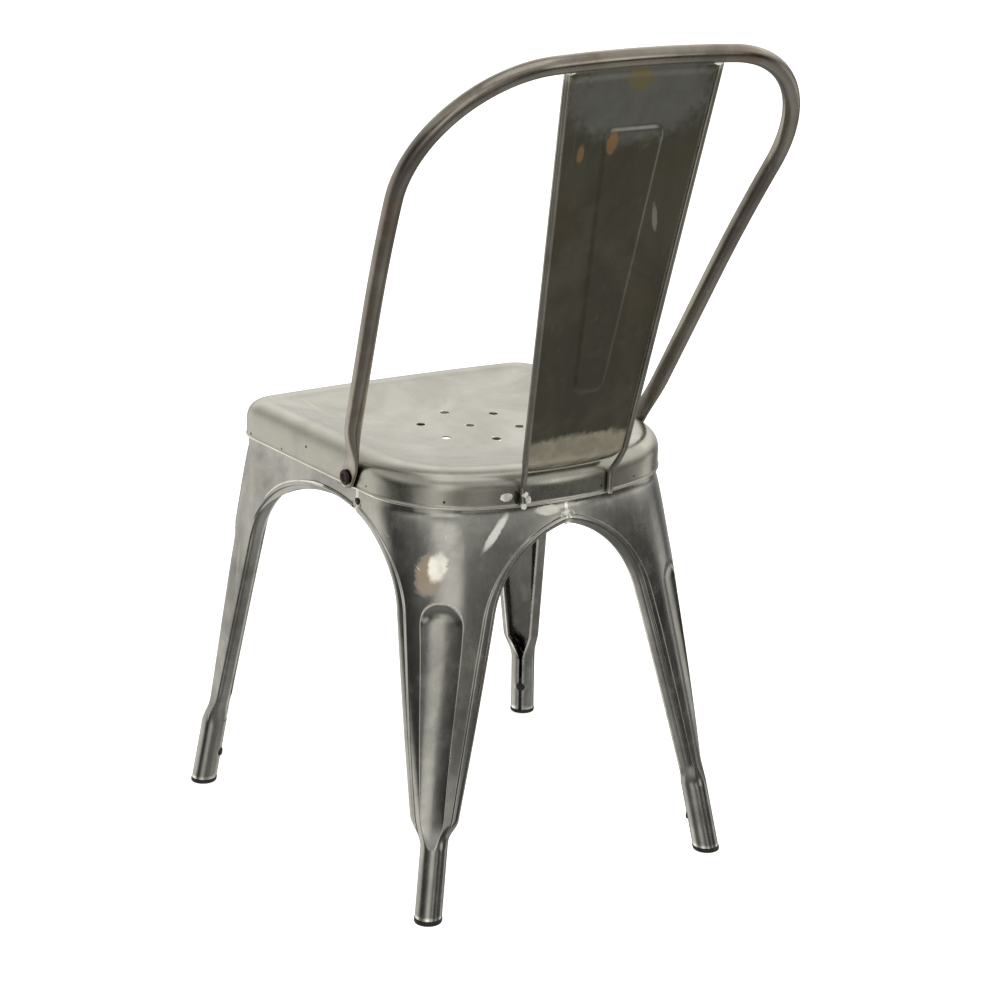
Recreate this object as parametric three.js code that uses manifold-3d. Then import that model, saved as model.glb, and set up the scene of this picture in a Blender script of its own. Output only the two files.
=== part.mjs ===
// Stacking cafe chair in bare steel: pressed seat pan, four corner legs, bent tube hoop and sheet splat.
// Millimetres, +Z up, the chair faces -Y, the floor is z = 0. The sitter's left is +X.
import * as THREE from "three";
import { mergeVertices } from "three/addons/utils/BufferGeometryUtils.js";
import Module from "manifold-3d";

const wasm = await Module();
wasm.setup();

// ---- driving dimensions ----
const SHEET = 1.2; // thickness of every pressed sheet
const GAP = 0.35; // left between pieces that touch in the real chair

// Seat outline: two arch shaped halves that share the side line at y = 0.
const SEAT_HALF = 170;
const SEAT_SPLAY = 4.6; // degrees by which the sides open towards the front
const SEAT_REAR = { reach: 170.7, corner: 99.5, crown: 285 };
const SEAT_FRONT = { reach: 187, corner: 36, crown: 2200 };
const SKIRT_LOW = 399.6; // height of the skirt's lower edge at y = 0
const SKIRT_RISE = 36;
const SEAT_TILT = Math.tan(THREE.MathUtils.degToRad(1.1)); // the seat falls to the rear
const RIM_RADIUS = 17;
const DISH_DEPTH = 9;
const DISH_BORDER = 22; // width of the level border round the dish
const DRAIN = { y: -9.9, ring: 50.7, radius: 4.8 };

// Leg tubes: axis on the floor and at the neck, for the rear left and the front left leg.
const NECK_Z = 74; // the rolled tube ends here and opens into the corner channel
const APRON_Z = 391; // from here up the legs run inside the skirt
const LEG_TOP_Z = 413;
const TUBE_RADIUS = 13.4;
const CHANNEL_Z = 98; // the blend from tube to channel ends here
const SLIT_HALF_ANGLE = 8; // degrees
const NOTCH = { z: 36, radius: 5.2 };
const REAR_FOOT = { x: 168.7, y: 200.7 };
const FRONT_FOOT = { x: 207.4, y: 213.1 };
const REAR_NECK = { x: 156.4, y: 189.7, driftX: 0.05, driftY: 0.2 };
const FRONT_NECK = { x: 199, y: 201.6, driftX: 0.08, driftY: 0.12 };
// The body on which a leg's outer face lies: at the neck and at the apron.
const CORNER_EASE = 1.25; // above 1 the corner stays round for longer
const APRON_FLARE = 0.75; // below 1 the skin leaves the skirt steeply and straightens on its way down
const SIDE_NECK = { half: 188.5, splay: 5.76 };
const REAR_SKIN_NECK = { reach: 225.5, corner: 13, crown: 540 };
const FRONT_SKIN_NECK = { reach: 221.5, corner: 13, crown: 3000 };
// Arches between the legs, measured from the neck height up.
const REAR_ARCH = { half: 143.5, lean: -14.4, corner: 108, crown: 400, reach: 304.7 };
const FRONT_ARCH = { half: 183, lean: -10, corner: 96, crown: 400, reach: 304.7 };
const SIDE_ARCH = { half: 178.2, lean: -12.7, corner: 104, crown: 190, reach: 308.3 };
const SIDE_ARCH_Y = -7;
const SIDE_JOINT_Y = 47; // front and rear leg meet here, behind the hoop's bolt
const ROLL_RADIUS = 5; // edge roll round each arch
const FLANGE = 7;
const FLUTE = { radius: 21, depth: 8, domeZ: 287, taper: 0.046, tip: 30 };
const FLUTE_ANGLE_NECK = 45; // degrees from the side, where the flute's middle lies
const FLUTE_ANGLE_TOP = 51;

// Back hoop: arch in a plane that leans back, with a backward bow near the top.
const HOOP = { y: 46.9, z: 428.7, lean: 26.1 };
const HOOP_ARCH = { half: 175.2, lean: 6.7, corner: 123.4, crown: 1461, reach: 459.5 };
const HOOP_BOW = 27;
const HOOP_RADIUS = 8.6;
const HOOP_WALL = 1.2;
const TAB = { half: 11.5, thick: 2.3, boltDrop: 21.5, end: 33, flatTo: -14, roundFrom: 50 };
const BOLT = { shank: 3.6, head: 7.8, headHeight: 3.2 };
const NUT = { radius: 7, height: 5.5 };
const WASHER = { radius: 8.5, height: 1.4 };

// Splat and its edge rods.
const SPLAT = { halfTop: 84.9, halfLow: 58.1, y: 182.8, z: 447 };
const ROD_RADIUS = 3;
const ROD_FOOT_X = 50.3;
const EMBOSS = { halfTop: 34, halfLow: 17.5, topZ: 776.4, lowZ: 512, depth: 1.6, edge: 4 };

const CAP = { radius: 13.9, height: 4.6, plug: 11.6, plugTop: 48 };
const BRACE = { width: 22, thick: 2.5, z: 388 };

// The frame's origin is the middle of the floor rectangle the chair stands in.
const REAR_END = 284.75; // back face of the hoop's top, from the seat's own origin
const FRONT_END = FRONT_FOOT.y + CAP.radius;
const SHIFT_Y = (FRONT_END - REAR_END) / 2;

const rad = THREE.MathUtils.degToRad;
const lerp = THREE.MathUtils.lerp;
const smooth = (x, a, b) => THREE.MathUtils.smoothstep(x, a, b);

// ---- curves ----

// Half an arch: a straight leg from (half, 0) with its lean, a corner arc and a crown arc that
// ends on the middle line at (0, reach). at(s) gives the point and outward normal at length s.
function arch({ half, lean, corner, crown, reach }) {
  const a = rad(lean);
  const dir = new THREE.Vector2(Math.sin(a), Math.cos(a));
  const inward = new THREE.Vector2(-dir.y, dir.x);
  const start = new THREE.Vector2(half, 0);
  const crownCentre = new THREE.Vector2(0, reach - crown);
  const o = start.clone().addScaledVector(inward, corner).sub(crownCentre);
  const b = o.dot(dir);
  const leg = -b + Math.sqrt(b * b - o.lengthSq() + (crown - corner) ** 2);
  const cornerCentre = start.clone().addScaledVector(dir, leg).addScaledVector(inward, corner);
  const firstAngle = Math.atan2(-inward.y, -inward.x);
  const spoke = cornerCentre.clone().sub(crownCentre);
  const crownAngle = Math.atan2(spoke.y, spoke.x);
  const cornerLength = corner * (crownAngle - firstAngle);
  const length = leg + cornerLength + crown * (Math.PI / 2 - crownAngle);
  const at = (s) => {
    if (s > length) {
      const m = at(2 * length - s);
      return { x: -m.x, y: m.y, nx: -m.nx, ny: m.ny };
    }
    let angle = firstAngle;
    if (s < leg) {
      return { x: half + dir.x * s, y: dir.y * s, nx: Math.cos(angle), ny: Math.sin(angle) };
    }
    let centre = cornerCentre;
    let radius = corner;
    angle += (s - leg) / corner;
    if (s > leg + cornerLength) {
      centre = crownCentre;
      radius = crown;
      angle = crownAngle + (s - leg - cornerLength) / crown;
    }
    const nx = Math.cos(angle);
    const ny = Math.sin(angle);
    return { x: centre.x + radius * nx, y: centre.y + radius * ny, nx, ny };
  };
  const lengthAtAngle = (degrees) => leg + corner * (rad(degrees) - firstAngle);
  // Lengths that split leg, corner and crown into so many equal steps each.
  const stops = (legSteps, cornerSteps, crownSteps) => {
    const piece = (from, to, steps) =>
      Array.from({ length: steps }, (_, i) => lerp(from, to, i / steps));
    return [
      ...piece(0, leg, legSteps),
      ...piece(leg, leg + cornerLength, cornerSteps),
      ...piece(leg + cornerLength, length, crownSteps),
      length,
    ];
  };
  return { at, length, lengthAtAngle, stops };
}

// The length at which rising(s) passes a value, found by halving.
function solve(rising, value, low, high) {
  for (let i = 0; i < 40; i++) {
    const middle = (low + high) / 2;
    if (rising(middle) < value) low = middle;
    else high = middle;
  }
  return (low + high) / 2;
}

const seatHalf = (end) =>
  arch({ half: SEAT_HALF, lean: end === SEAT_REAR ? -SEAT_SPLAY : SEAT_SPLAY, ...end });
const seatRear = seatHalf(SEAT_REAR);
const seatFront = seatHalf(SEAT_FRONT);
const skirtLow = (y) => SKIRT_LOW - SEAT_TILT * y;
const skirtSideX = (y) => SEAT_HALF - y * Math.tan(rad(SEAT_SPLAY));

// ---- solids ----

// A closed sheet from a grid of outer points. Quads are kept where keep(row, column) is true;
// the second skin lies one thickness inside, and the free edges are closed with a rim.
function sheet(rows, { thick = SHEET, keep = () => true, wrap = false } = {}) {
  const high = rows.length;
  const wide = rows[0].length;
  const quads = [];
  for (let i = 0; i + 1 < high; i++) {
    for (let j = 0; j + (wrap ? 0 : 1) < wide; j++) {
      const k = (j + 1) % wide;
      if (keep(i, j)) quads.push([i * wide + j, i * wide + k, (i + 1) * wide + k, (i + 1) * wide + j]);
    }
  }
  const outer = rows.flat();
  const normals = outer.map(() => new THREE.Vector3());
  for (const q of quads) {
    const n = quadNormal(outer, q);
    for (const v of q) normals[v].add(n);
  }
  const inner = outer.map((p, i) => p.clone().addScaledVector(normals[i].normalize(), -thick));
  const count = outer.length;
  const faces = [];
  const edges = new Map();
  for (const [a, b, c, d] of quads) {
    faces.push([a, b, c], [a, c, d]);
    faces.push([a + count, c + count, b + count], [a + count, d + count, c + count]);
    for (const [m, n] of [[a, b], [b, c], [c, d], [d, a]]) {
      if (!edges.delete(n + "," + m)) edges.set(m + "," + n, [m, n]);
    }
  }
  for (const [m, n] of edges.values()) {
    faces.push([m, m + count, n + count], [m, n + count, n]);
  }
  return solidFrom([...outer, ...inner], faces);
}

function quadNormal(points, [a, b, c, d]) {
  const e = points[c].clone().sub(points[a]);
  const f = points[d].clone().sub(points[b]);
  return e.cross(f);
}

// A solid of manifold-3d from points and triangles.
function solidFrom(points, faces) {
  const geometry = new THREE.BufferGeometry().setFromPoints(faces.flat().map((i) => points[i]));
  return toSolid(geometry);
}

function toSolid(geometry) {
  const bare = geometry.clone();
  bare.deleteAttribute("normal");
  bare.deleteAttribute("uv");
  const merged = mergeVertices(bare, 1e-4);
  const index = [];
  for (let i = 0; i < merged.index.count; i += 3) {
    const t = [0, 1, 2].map((k) => merged.index.getX(i + k));
    if (t[0] !== t[1] && t[1] !== t[2] && t[2] !== t[0]) index.push(...t);
  }
  return new wasm.Manifold(
    new wasm.Mesh({
      numProp: 3,
      vertProperties: merged.attributes.position.array,
      triVerts: new Uint32Array(index),
    }),
  );
}

function toGeometry(solid) {
  const { vertProperties, triVerts, numProp } = solid.getMesh();
  const position = [];
  for (const v of triVerts) {
    for (let k = 0; k < 3; k++) position.push(vertProperties[v * numProp + k]);
  }
  const geometry = new THREE.BufferGeometry();
  geometry.setAttribute("position", new THREE.Float32BufferAttribute(position, 3));
  geometry.computeVertexNormals();
  return geometry;
}

// A lathed solid round its own z axis, turned to point along an axis and set at a place.
function turned(profile, sides, place, axis = new THREE.Vector3(0, 0, 1)) {
  const geometry = new THREE.LatheGeometry(
    profile.map(([r, h]) => new THREE.Vector2(r, h)),
    sides,
  );
  const turn = new THREE.Quaternion().setFromUnitVectors(new THREE.Vector3(0, 1, 0), axis);
  geometry.applyQuaternion(turn).translate(place.x, place.y, place.z);
  return toSolid(geometry);
}

const rod = (radius, low, high) => [[0, low], [radius, low], [radius, high], [0, high]];
const ring = (inner, radius, low, high) => [
  [inner, low], [radius, low], [radius, high], [inner, high], [inner, low],
];

// A tube or bar along stations { p, side, out, half, width }: half is the half thickness along
// out, width the half width along side; wall > 0 leaves it hollow with open ends.
function swept(stations, sides, wall = 0) {
  const loop = (st, inset) =>
    Array.from({ length: sides }, (_, k) => {
      const a = (2 * Math.PI * k) / sides;
      return st.p
        .clone()
        .addScaledVector(st.side, (st.width - inset) * Math.cos(a))
        .addScaledVector(st.out, (st.half - inset) * Math.sin(a));
    });
  const skins = wall > 0 ? [0, wall] : [0];
  const points = skins.flatMap((inset) => stations.flatMap((st) => loop(st, inset)));
  const layer = stations.length * sides;
  const last = layer - sides;
  const faces = [];
  skins.forEach((_, s) => {
    for (let i = 0; i < last; i += sides) {
      for (let k = 0; k < sides; k++) {
        const a = s * layer + i + k;
        const b = s * layer + i + ((k + 1) % sides);
        const q = [a, b, b + sides, a + sides];
        if (s) q.reverse();
        faces.push([q[0], q[1], q[2]], [q[0], q[2], q[3]]);
      }
    }
  });
  for (let k = 0; k < sides; k++) {
    const n = (k + 1) % sides;
    if (wall > 0) {
      faces.push([k, layer + k, layer + n], [k, layer + n, n]);
      faces.push([last + k, last + n, layer + last + n], [last + k, layer + last + n, layer + last + k]);
    } else if (k > 0 && n > 0) {
      faces.push([0, n, k], [last, last + k, last + n]);
    }
  }
  const solid = solidFrom(points, faces);
  if (solid.volume() > 0) return solid;
  return solidFrom(points, faces.map(([a, b, c]) => [a, c, b]));
}

// ---- seat pan ----

// Points once round the seat, with outward normals, counter clockwise seen from above.
function seatLoop() {
  const rear = seatRear.stops(1, 8, 4).reverse().map((s) => seatRear.at(s));
  const front = seatFront.stops(3, 8, 4).slice(1).map((s) => seatFront.at(s));
  const left = [...rear, ...front.map((p) => ({ ...p, y: -p.y, ny: -p.ny }))];
  const right = left.slice(1, -1).reverse().map((p) => ({ ...p, x: -p.x, nx: -p.nx }));
  return [...left, ...right].reverse();
}

// Depth of the dish below the rim, from the distance inside the skirt.
function dishDepth(inset) {
  return DISH_DEPTH * smooth(inset, DISH_BORDER - 6, DISH_BORDER + 80);
}

function seatPan() {
  const loop = seatLoop();
  const row = (inset, up) =>
    loop.map(
      ({ x, y, nx, ny }) =>
        new THREE.Vector3(x - nx * inset, y - ny * inset, skirtLow(y - ny * inset) + up),
    );
  const rows = [row(0, 0), row(0, SKIRT_RISE - RIM_RADIUS)];
  for (const turn of [30, 60, 90]) {
    const a = rad(turn);
    rows.push(row(RIM_RADIUS * (1 - Math.cos(a)), SKIRT_RISE - RIM_RADIUS * (1 - Math.sin(a))));
  }
  const border = rows[rows.length - 1];
  const centre = new THREE.Vector3(0, DRAIN.y, 0);
  for (const scale of [0.9, 0.72, 0.5, 0.24]) {
    const inset = RIM_RADIUS + (1 - scale) * (SEAT_HALF - RIM_RADIUS);
    rows.push(
      border.map((p) => {
        const q = p.clone().sub(centre).multiplyScalar(scale).add(centre);
        return q.setZ(skirtLow(q.y) + SKIRT_RISE - dishDepth(inset));
      }),
    );
  }
  const middleZ = skirtLow(DRAIN.y) + SKIRT_RISE - DISH_DEPTH;
  rows.push(border.map(() => new THREE.Vector3(0, DRAIN.y, middleZ)));
  let pan = sheet(rows, { wrap: true });
  for (let i = 0; i < 7; i++) {
    const a = rad(60 * i);
    const reach = i === 6 ? 0 : DRAIN.ring;
    const place = new THREE.Vector3(reach * Math.sin(a), DRAIN.y + reach * Math.cos(a), 415);
    pan = pan.subtract(turned(rod(DRAIN.radius, 0, 25), 14, place));
  }
  return pan;
}

// ---- legs ----

// Everything that tells a rear leg from a front leg. The leg is built with x and y both
// positive and mirrored into its corner; joint is the side joint's distance along that y.
const LEGS = {
  rear: {
    foot: REAR_FOOT,
    neck: REAR_NECK,
    skinNeck: REAR_SKIN_NECK,
    seat: SEAT_REAR,
    splay: -1,
    arch: arch(REAR_ARCH),
    archY: SIDE_ARCH_Y,
    joint: SIDE_JOINT_Y + GAP / 2,
  },
  front: {
    foot: FRONT_FOOT,
    neck: FRONT_NECK,
    skinNeck: FRONT_SKIN_NECK,
    seat: SEAT_FRONT,
    splay: 1,
    arch: arch(FRONT_ARCH),
    archY: -SIDE_ARCH_Y,
    joint: -SIDE_JOINT_Y + GAP / 2,
  },
};
const sideArch = arch(SIDE_ARCH);
const INSET = SHEET + 2 * GAP; // the apron band runs inside the skirt

// The outline on which the leg's outer face lies at height z.
function skin(leg, z) {
  const t = THREE.MathUtils.clamp((APRON_Z - z) / (APRON_Z - NECK_Z), 0, 1);
  const flare = t ** APRON_FLARE;
  return arch({
    half: lerp(SEAT_HALF - INSET, SIDE_NECK.half, t),
    lean: leg.splay * lerp(SEAT_SPLAY, SIDE_NECK.splay, t),
    corner: lerp(leg.seat.corner - INSET, leg.skinNeck.corner, t ** CORNER_EASE),
    crown: lerp(leg.seat.crown - INSET, leg.skinNeck.crown, flare),
    reach: lerp(leg.seat.reach - INSET, leg.skinNeck.reach, flare),
  });
}

// Length along the outline at which the flute's middle lies.
function fluteMiddle(outline, z) {
  const t = smooth(z, NECK_Z, FLUTE.domeZ);
  return outline.lengthAtAngle(lerp(FLUTE_ANGLE_NECK, FLUTE_ANGLE_TOP, t));
}

// Half width of the flute at height z: it narrows evenly downwards and closes in a round tip.
function fluteRadius(z) {
  const below = Math.max(FLUTE.domeZ - z, 0);
  const closing = THREE.MathUtils.clamp((z - NECK_Z) / FLUTE.tip, 0, 1);
  return (FLUTE.radius - FLUTE.taper * below) * (1 - (1 - closing) ** 2) ** 0.65;
}

// How far the flute sinks the face at a distance from its middle line.
function fluteDepth(offset, z) {
  const radius = fluteRadius(z);
  const above = Math.max(z - FLUTE.domeZ, 0);
  if (radius < 0.01) return 0;
  const u = (offset * offset + above * above) / (radius * radius);
  return FLUTE.depth * (radius / FLUTE.radius) * Math.max(1 - u, 0);
}

// A point of the leg's face at an offset from the flute's middle, at height z.
function facePoint(leg, offset, z) {
  const outline = skin(leg, z);
  const { x, y, nx, ny } = outline.at(fluteMiddle(outline, z) + offset);
  const sink = fluteDepth(offset, z);
  return new THREE.Vector3(x - nx * sink, y - ny * sink, z);
}

// Where the face ends towards the rear or front arch and towards the side arch, as offset and
// height, at a share of the arch's length from neck (0) to joint (1).
function endArchLine(leg, share) {
  const last = solve((s) => -leg.arch.at(s).x, -GAP / 2, 0, leg.arch.length);
  const { x, y } = leg.arch.at(share * last);
  const z = NECK_Z + y;
  return { offset: offsetAtX(leg, x, z), z };
}

function sideArchLine(leg, share) {
  const last = solve((s) => -sideArch.at(s).x, leg.archY - leg.joint, 0, 2 * sideArch.length);
  const { x, y } = sideArch.at(share * last);
  const z = NECK_Z + y;
  return { offset: offsetAtY(leg, leg.archY + x, z), z };
}

// The face's edge beside an arch, one roll radius short of the arch's own line, with the
// directions that the roll needs: out of the leg into the arch, and inward behind the face.
function archEdge(leg, lineAt, share, sign) {
  const step = 0.01;
  const here = lineAt(leg, share);
  const before = lineAt(leg, Math.max(share - step, 0));
  const after = lineAt(leg, Math.min(share + step, 1));
  const at = ({ offset, z }) => facePoint(leg, offset, z);
  const p = at(here);
  const along = at(after).sub(at(before)).normalize();
  const across = p.clone().sub(facePoint(leg, here.offset - sign * 2, here.z)).normalize();
  const up = facePoint(leg, here.offset, here.z + 2).sub(p).normalize();
  const inward = up.cross(across).normalize();
  if (inward.x + inward.y > 0) inward.negate();
  const out = inward.clone().cross(along).normalize();
  if (out.dot(across) < 0) out.negate();
  if (out.z > 0.2) out.negate();
  const offset = here.offset - sign * ROLL_RADIUS * out.dot(across);
  return { offset, z: here.z - ROLL_RADIUS * out.z, out, inward };
}

function offsetAtX(leg, x, z) {
  const outline = skin(leg, z);
  const middle = fluteMiddle(outline, z);
  return solve((s) => -outline.at(s).x, -x, middle, outline.length) - middle;
}

function offsetAtY(leg, y, z) {
  const outline = skin(leg, z);
  const middle = fluteMiddle(outline, z);
  return solve((s) => outline.at(s).y, y, -100, middle) - middle;
}

// One row of the leg from the side arch's flange round the corner to the end arch's flange.
// side and end hold each edge's offset, height and, on an arch, the direction out of the leg.
function channelRow(leg, columns, side, end, middleZ) {
  const face = (edge, share, sign) => {
    const z = lerp(middleZ, edge.z, share * share);
    const flute = Math.min(Math.max(fluteRadius(z), 5), Math.abs(edge.offset) * 0.5);
    const offset =
      share <= 0.5
        ? sign * flute * share * 2
        : lerp(sign * flute, edge.offset, share * 2 - 1);
    return facePoint(leg, offset, share === 1 ? edge.z : z);
  };
  const rolled = (edge, turn) => {
    const start = facePoint(leg, edge.offset, edge.z);
    const angle = Math.min(turn, 1) * (Math.PI / 2);
    const past = Math.max(turn - 1, 0) * FLANGE;
    return start
      .addScaledVector(edge.out, ROLL_RADIUS * Math.sin(angle))
      .addScaledVector(edge.inward, ROLL_RADIUS * (1 - Math.cos(angle)) + past);
  };
  return columns.map(({ sign, share, turn }) => {
    const edge = sign < 0 ? side : end;
    return turn > 0 ? rolled(edge, turn) : face(edge, share, sign);
  });
}

// The tube's axis: straight from foot to neck, then drifting inward behind the channel.
function tubeAxis(leg, z) {
  const { foot, neck } = leg;
  const t = Math.min(z / NECK_Z, 1);
  const above = Math.max(z - NECK_Z, 0);
  const x = lerp(foot.x, neck.x, t) - neck.driftX * above;
  const y = lerp(foot.y, neck.y, t) - neck.driftY * above;
  return new THREE.Vector3(x, y, z);
}

// A point of the rolled tube: round is -1 to 1, from one lip of the slit to the other.
function tubePoint(leg, round, z) {
  const turn = rad(round * (180 - SLIT_HALF_ANGLE));
  const a = rad(FLUTE_ANGLE_NECK) + turn;
  const radius = TUBE_RADIUS - fluteDepth(TUBE_RADIUS * Math.abs(turn), z);
  const { x, y } = tubeAxis(leg, z);
  return new THREE.Vector3(x + radius * Math.cos(a), y + radius * Math.sin(a), z);
}

// Columns across a leg: flange and roll, wing, flute, wing, roll and flange.
function legColumns() {
  const half = [
    { share: 0.25, round: 0.11 },
    { share: 0.5, round: 0.22 },
    { share: 0.67, round: 0.32 },
    { share: 0.83, round: 0.42 },
    { share: 1, round: 0.5 },
    { turn: 0.5, round: 0.65 },
    { turn: 1, round: 0.8 },
    { turn: 2, round: 1 },
  ];
  const side = half.map((c) => ({ share: 1, turn: 0, ...c, sign: -1, round: -c.round })).reverse();
  const end = half.map((c) => ({ share: 1, turn: 0, ...c, sign: 1 }));
  return [...side, { sign: 1, share: 0, turn: 0, round: 0 }, ...end];
}

const ARCH_ROWS = 22;
const TUBE_ROWS = [CAP.height + GAP, 26, 50];
const JOINT_ROWS = [0.3, 0.55, 1];

function legSolid(leg) {
  const columns = legColumns();
  const rows = TUBE_ROWS.map((z) => columns.map((c) => tubePoint(leg, c.round, z)));
  for (let i = 0; i <= ARCH_ROWS; i++) {
    const share = i / ARCH_ROWS;
    const middleZ = lerp(NECK_Z, APRON_Z, share);
    const side = archEdge(leg, sideArchLine, share, -1);
    const end = archEdge(leg, endArchLine, share, 1);
    const channel = channelRow(leg, columns, side, end, middleZ);
    const blend = smooth(middleZ, NECK_Z, CHANNEL_Z);
    rows.push(channel.map((p, j) => tubePoint(leg, columns[j].round, p.z).lerp(p, blend)));
  }
  const archEnd = rows.length - 1;
  const side = archEdge(leg, sideArchLine, 1, -1);
  const end = archEdge(leg, endArchLine, 1, 1);
  for (const share of JOINT_ROWS) {
    const sideZ = lerp(side.z, LEG_TOP_Z, share);
    const endZ = lerp(end.z, LEG_TOP_Z, share);
    const sideEdge = { offset: offsetAtY(leg, leg.joint, sideZ), z: sideZ };
    const endEdge = { offset: offsetAtX(leg, GAP / 2, endZ), z: endZ };
    rows.push(
      columns.map((c) => {
        const flat = [{ ...c, turn: 0 }];
        return channelRow(leg, flat, sideEdge, endEdge, lerp(APRON_Z, LEG_TOP_Z, share))[0];
      }),
    );
  }
  const firstFace = columns.findIndex((c) => c.turn === 0);
  const lastFace = columns.length - 1 - firstFace;
  const keep = (i, j) => i < archEnd || (j >= firstFace && j < lastFace);
  const shell = sheet(rows, { keep });
  const slitAngle = rad(FLUTE_ANGLE_NECK + 180);
  const notchAxis = new THREE.Vector3(Math.cos(slitAngle), Math.sin(slitAngle), 0);
  const axis = tubeAxis(leg, NOTCH.z);
  return shell
    .subtract(turned(rod(NOTCH.radius, 4, 20), 16, axis, notchAxis))
    .trimByPlane([1, 0, 0], GAP / 2)
    .trimByPlane([0, 1, 0], leg.joint);
}

// ---- back hoop ----

const hoopArch = arch(HOOP_ARCH);
const TAB_GAP = GAP * 1.4; // between the skirt and the tab, whose facets bulge a little
const LEAN = new THREE.Vector2(Math.sin(rad(HOOP.lean)), Math.cos(rad(HOOP.lean)));

// A point in the hoop's bowed plane: x across, up along the leaning plane.
function hoopPlane(x, up) {
  const bowed = THREE.MathUtils.clamp((up / HOOP_ARCH.reach - 0.4) / 0.6, 0, 1);
  const y = HOOP.y + up * LEAN.x + HOOP_BOW * bowed * bowed;
  return new THREE.Vector3(x, y, HOOP.z + up * LEAN.y);
}

// The tube's centre line from the left end to the right; negative lengths run down the tab.
function hoopPoint(s) {
  if (s > hoopArch.length) return hoopPoint(2 * hoopArch.length - s).multiply(new THREE.Vector3(-1, 1, 1));
  const { x, y } = hoopArch.at(s);
  const p = hoopPlane(x, y);
  const beside = skirtSideX(p.y) + TAB_GAP + tabHalf(s);
  return p.setX(lerp(beside, x, smooth(s, TAB.flatTo, TAB.roundFrom)));
}

// Half thickness of the flattened tube at a length from the arch's foot.
const tabHalf = (s) => lerp(TAB.thick, HOOP_RADIUS, smooth(s, TAB.flatTo, TAB.roundFrom));

// Half width there, with the tab's rounded end.
function tabWidth(s) {
  const past = Math.min(s + TAB.boltDrop, 0);
  const width = lerp(TAB.half, HOOP_RADIUS, smooth(s, TAB.flatTo, TAB.roundFrom));
  return Math.sqrt(Math.max(width * width - past * past, 9));
}

function hoopStations(lengths) {
  const total = 2 * hoopArch.length;
  return lengths.map((s) => {
    const tangent = hoopPoint(s + 0.5).sub(hoopPoint(s - 0.5)).normalize();
    const fromEnd = Math.min(s, total - s);
    const skirtNormal = new THREE.Vector3(Math.cos(rad(SEAT_SPLAY)), Math.sin(rad(SEAT_SPLAY)), 0);
    const hoopNormal = new THREE.Vector3(0, LEAN.y, -LEAN.x);
    if (s > hoopArch.length) skirtNormal.x *= -1;
    const across = skirtNormal.cross(tangent).normalize();
    if (across.y < 0) across.negate();
    const side = across.lerp(hoopNormal, smooth(fromEnd, 10, 60));
    side.addScaledVector(tangent, -side.dot(tangent)).normalize();
    const out = side.clone().cross(tangent).normalize();
    return { p: hoopPoint(s), side, out, half: tabHalf(fromEnd), width: tabWidth(fromEnd) };
  });
}

function hoopLengths() {
  const { length } = hoopArch;
  const foot = [-TAB.end, -28, -TAB.boltDrop, TAB.flatTo, -2, 12, 26, TAB.roundFrom, 130];
  const bend = Array.from({ length: 16 }, (_, i) => lerp(200, length, (i + 1) / 16));
  const half = [...foot, 195, ...bend];
  return [...half, ...half.slice(0, -1).reverse().map((s) => 2 * length - s)];
}

// The bolt's axis: square to the skirt, through the tab.
function boltPlace() {
  const p = hoopPlane(0, -TAB.boltDrop);
  p.x = skirtSideX(p.y);
  const axis = new THREE.Vector3(Math.cos(rad(SEAT_SPLAY)), Math.sin(rad(SEAT_SPLAY)), 0);
  return { p, axis };
}

function backHoop() {
  const { p, axis } = boltPlace();
  const tube = swept(hoopStations(hoopLengths()), 12, HOOP_WALL);
  const drill = turned(rod(BOLT.shank + GAP, -10, 20), 14, p, axis);
  const mirrored = new THREE.Vector3(-p.x, p.y, p.z);
  const turnedAxis = new THREE.Vector3(-axis.x, axis.y, 0);
  const otherDrill = turned(rod(BOLT.shank + GAP, -10, 20), 14, mirrored, turnedAxis);
  return tube.subtract(drill).subtract(otherDrill);
}

// Bolt, washer and nut at the left side; heights run outwards from the skirt's face.
function boltHardware() {
  const { p, axis } = boltPlace();
  const face = TAB_GAP + 2 * TAB.thick + GAP; // the tab's outer face
  const wall = -(INSET + SHEET + GAP); // just inside skirt and leg together
  const nutFrom = wall - WASHER.height - GAP;
  const nutTo = nutFrom - NUT.height;
  const bolt = turned(
    [
      [0, nutTo - 2],
      [BOLT.shank, nutTo - 2],
      [BOLT.shank, face],
      [BOLT.head, face],
      [BOLT.head, face + 1],
      [BOLT.head * 0.7, face + BOLT.headHeight * 0.8],
      [0, face + BOLT.headHeight],
    ],
    18,
    p,
    axis,
  );
  const bore = BOLT.shank + GAP;
  const washer = turned(ring(bore, WASHER.radius, wall - WASHER.height, wall), 18, p, axis);
  const thread = turned(rod(bore, nutTo - 1, nutFrom + 1), 14, p, axis);
  const nut = turned(rod(NUT.radius, nutTo, nutFrom), 6, p, axis).subtract(thread);
  return { bolt, washer, nut, bore: turned(rod(bore, -12, 2), 14, p, axis) };
}

// ---- splat ----

// Where the hoop's centre line passes over a distance x from the middle.
function hoopOver(x) {
  const s = solve((length) => -hoopArch.at(length).x, -x, hoopArch.lengthAtAngle(60), hoopArch.length);
  return hoopPlane(x, hoopArch.at(s).y);
}

// A line up the splat at a share of its half width: straight from the bend to the hoop.
function splatLine(share, rise) {
  const low = new THREE.Vector3(share * SPLAT.halfLow, SPLAT.y, SPLAT.z);
  const over = hoopOver(Math.abs(share) * SPLAT.halfTop);
  over.x = share * SPLAT.halfTop;
  const reach = over.distanceTo(low) - HOOP_RADIUS - GAP - 0.3;
  return low.lerp(over, (rise * reach) / over.distanceTo(low));
}

const bezier = (a, b, c, t) => a.clone().lerp(b, t).lerp(b.clone().lerp(c, t), t);

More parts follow.
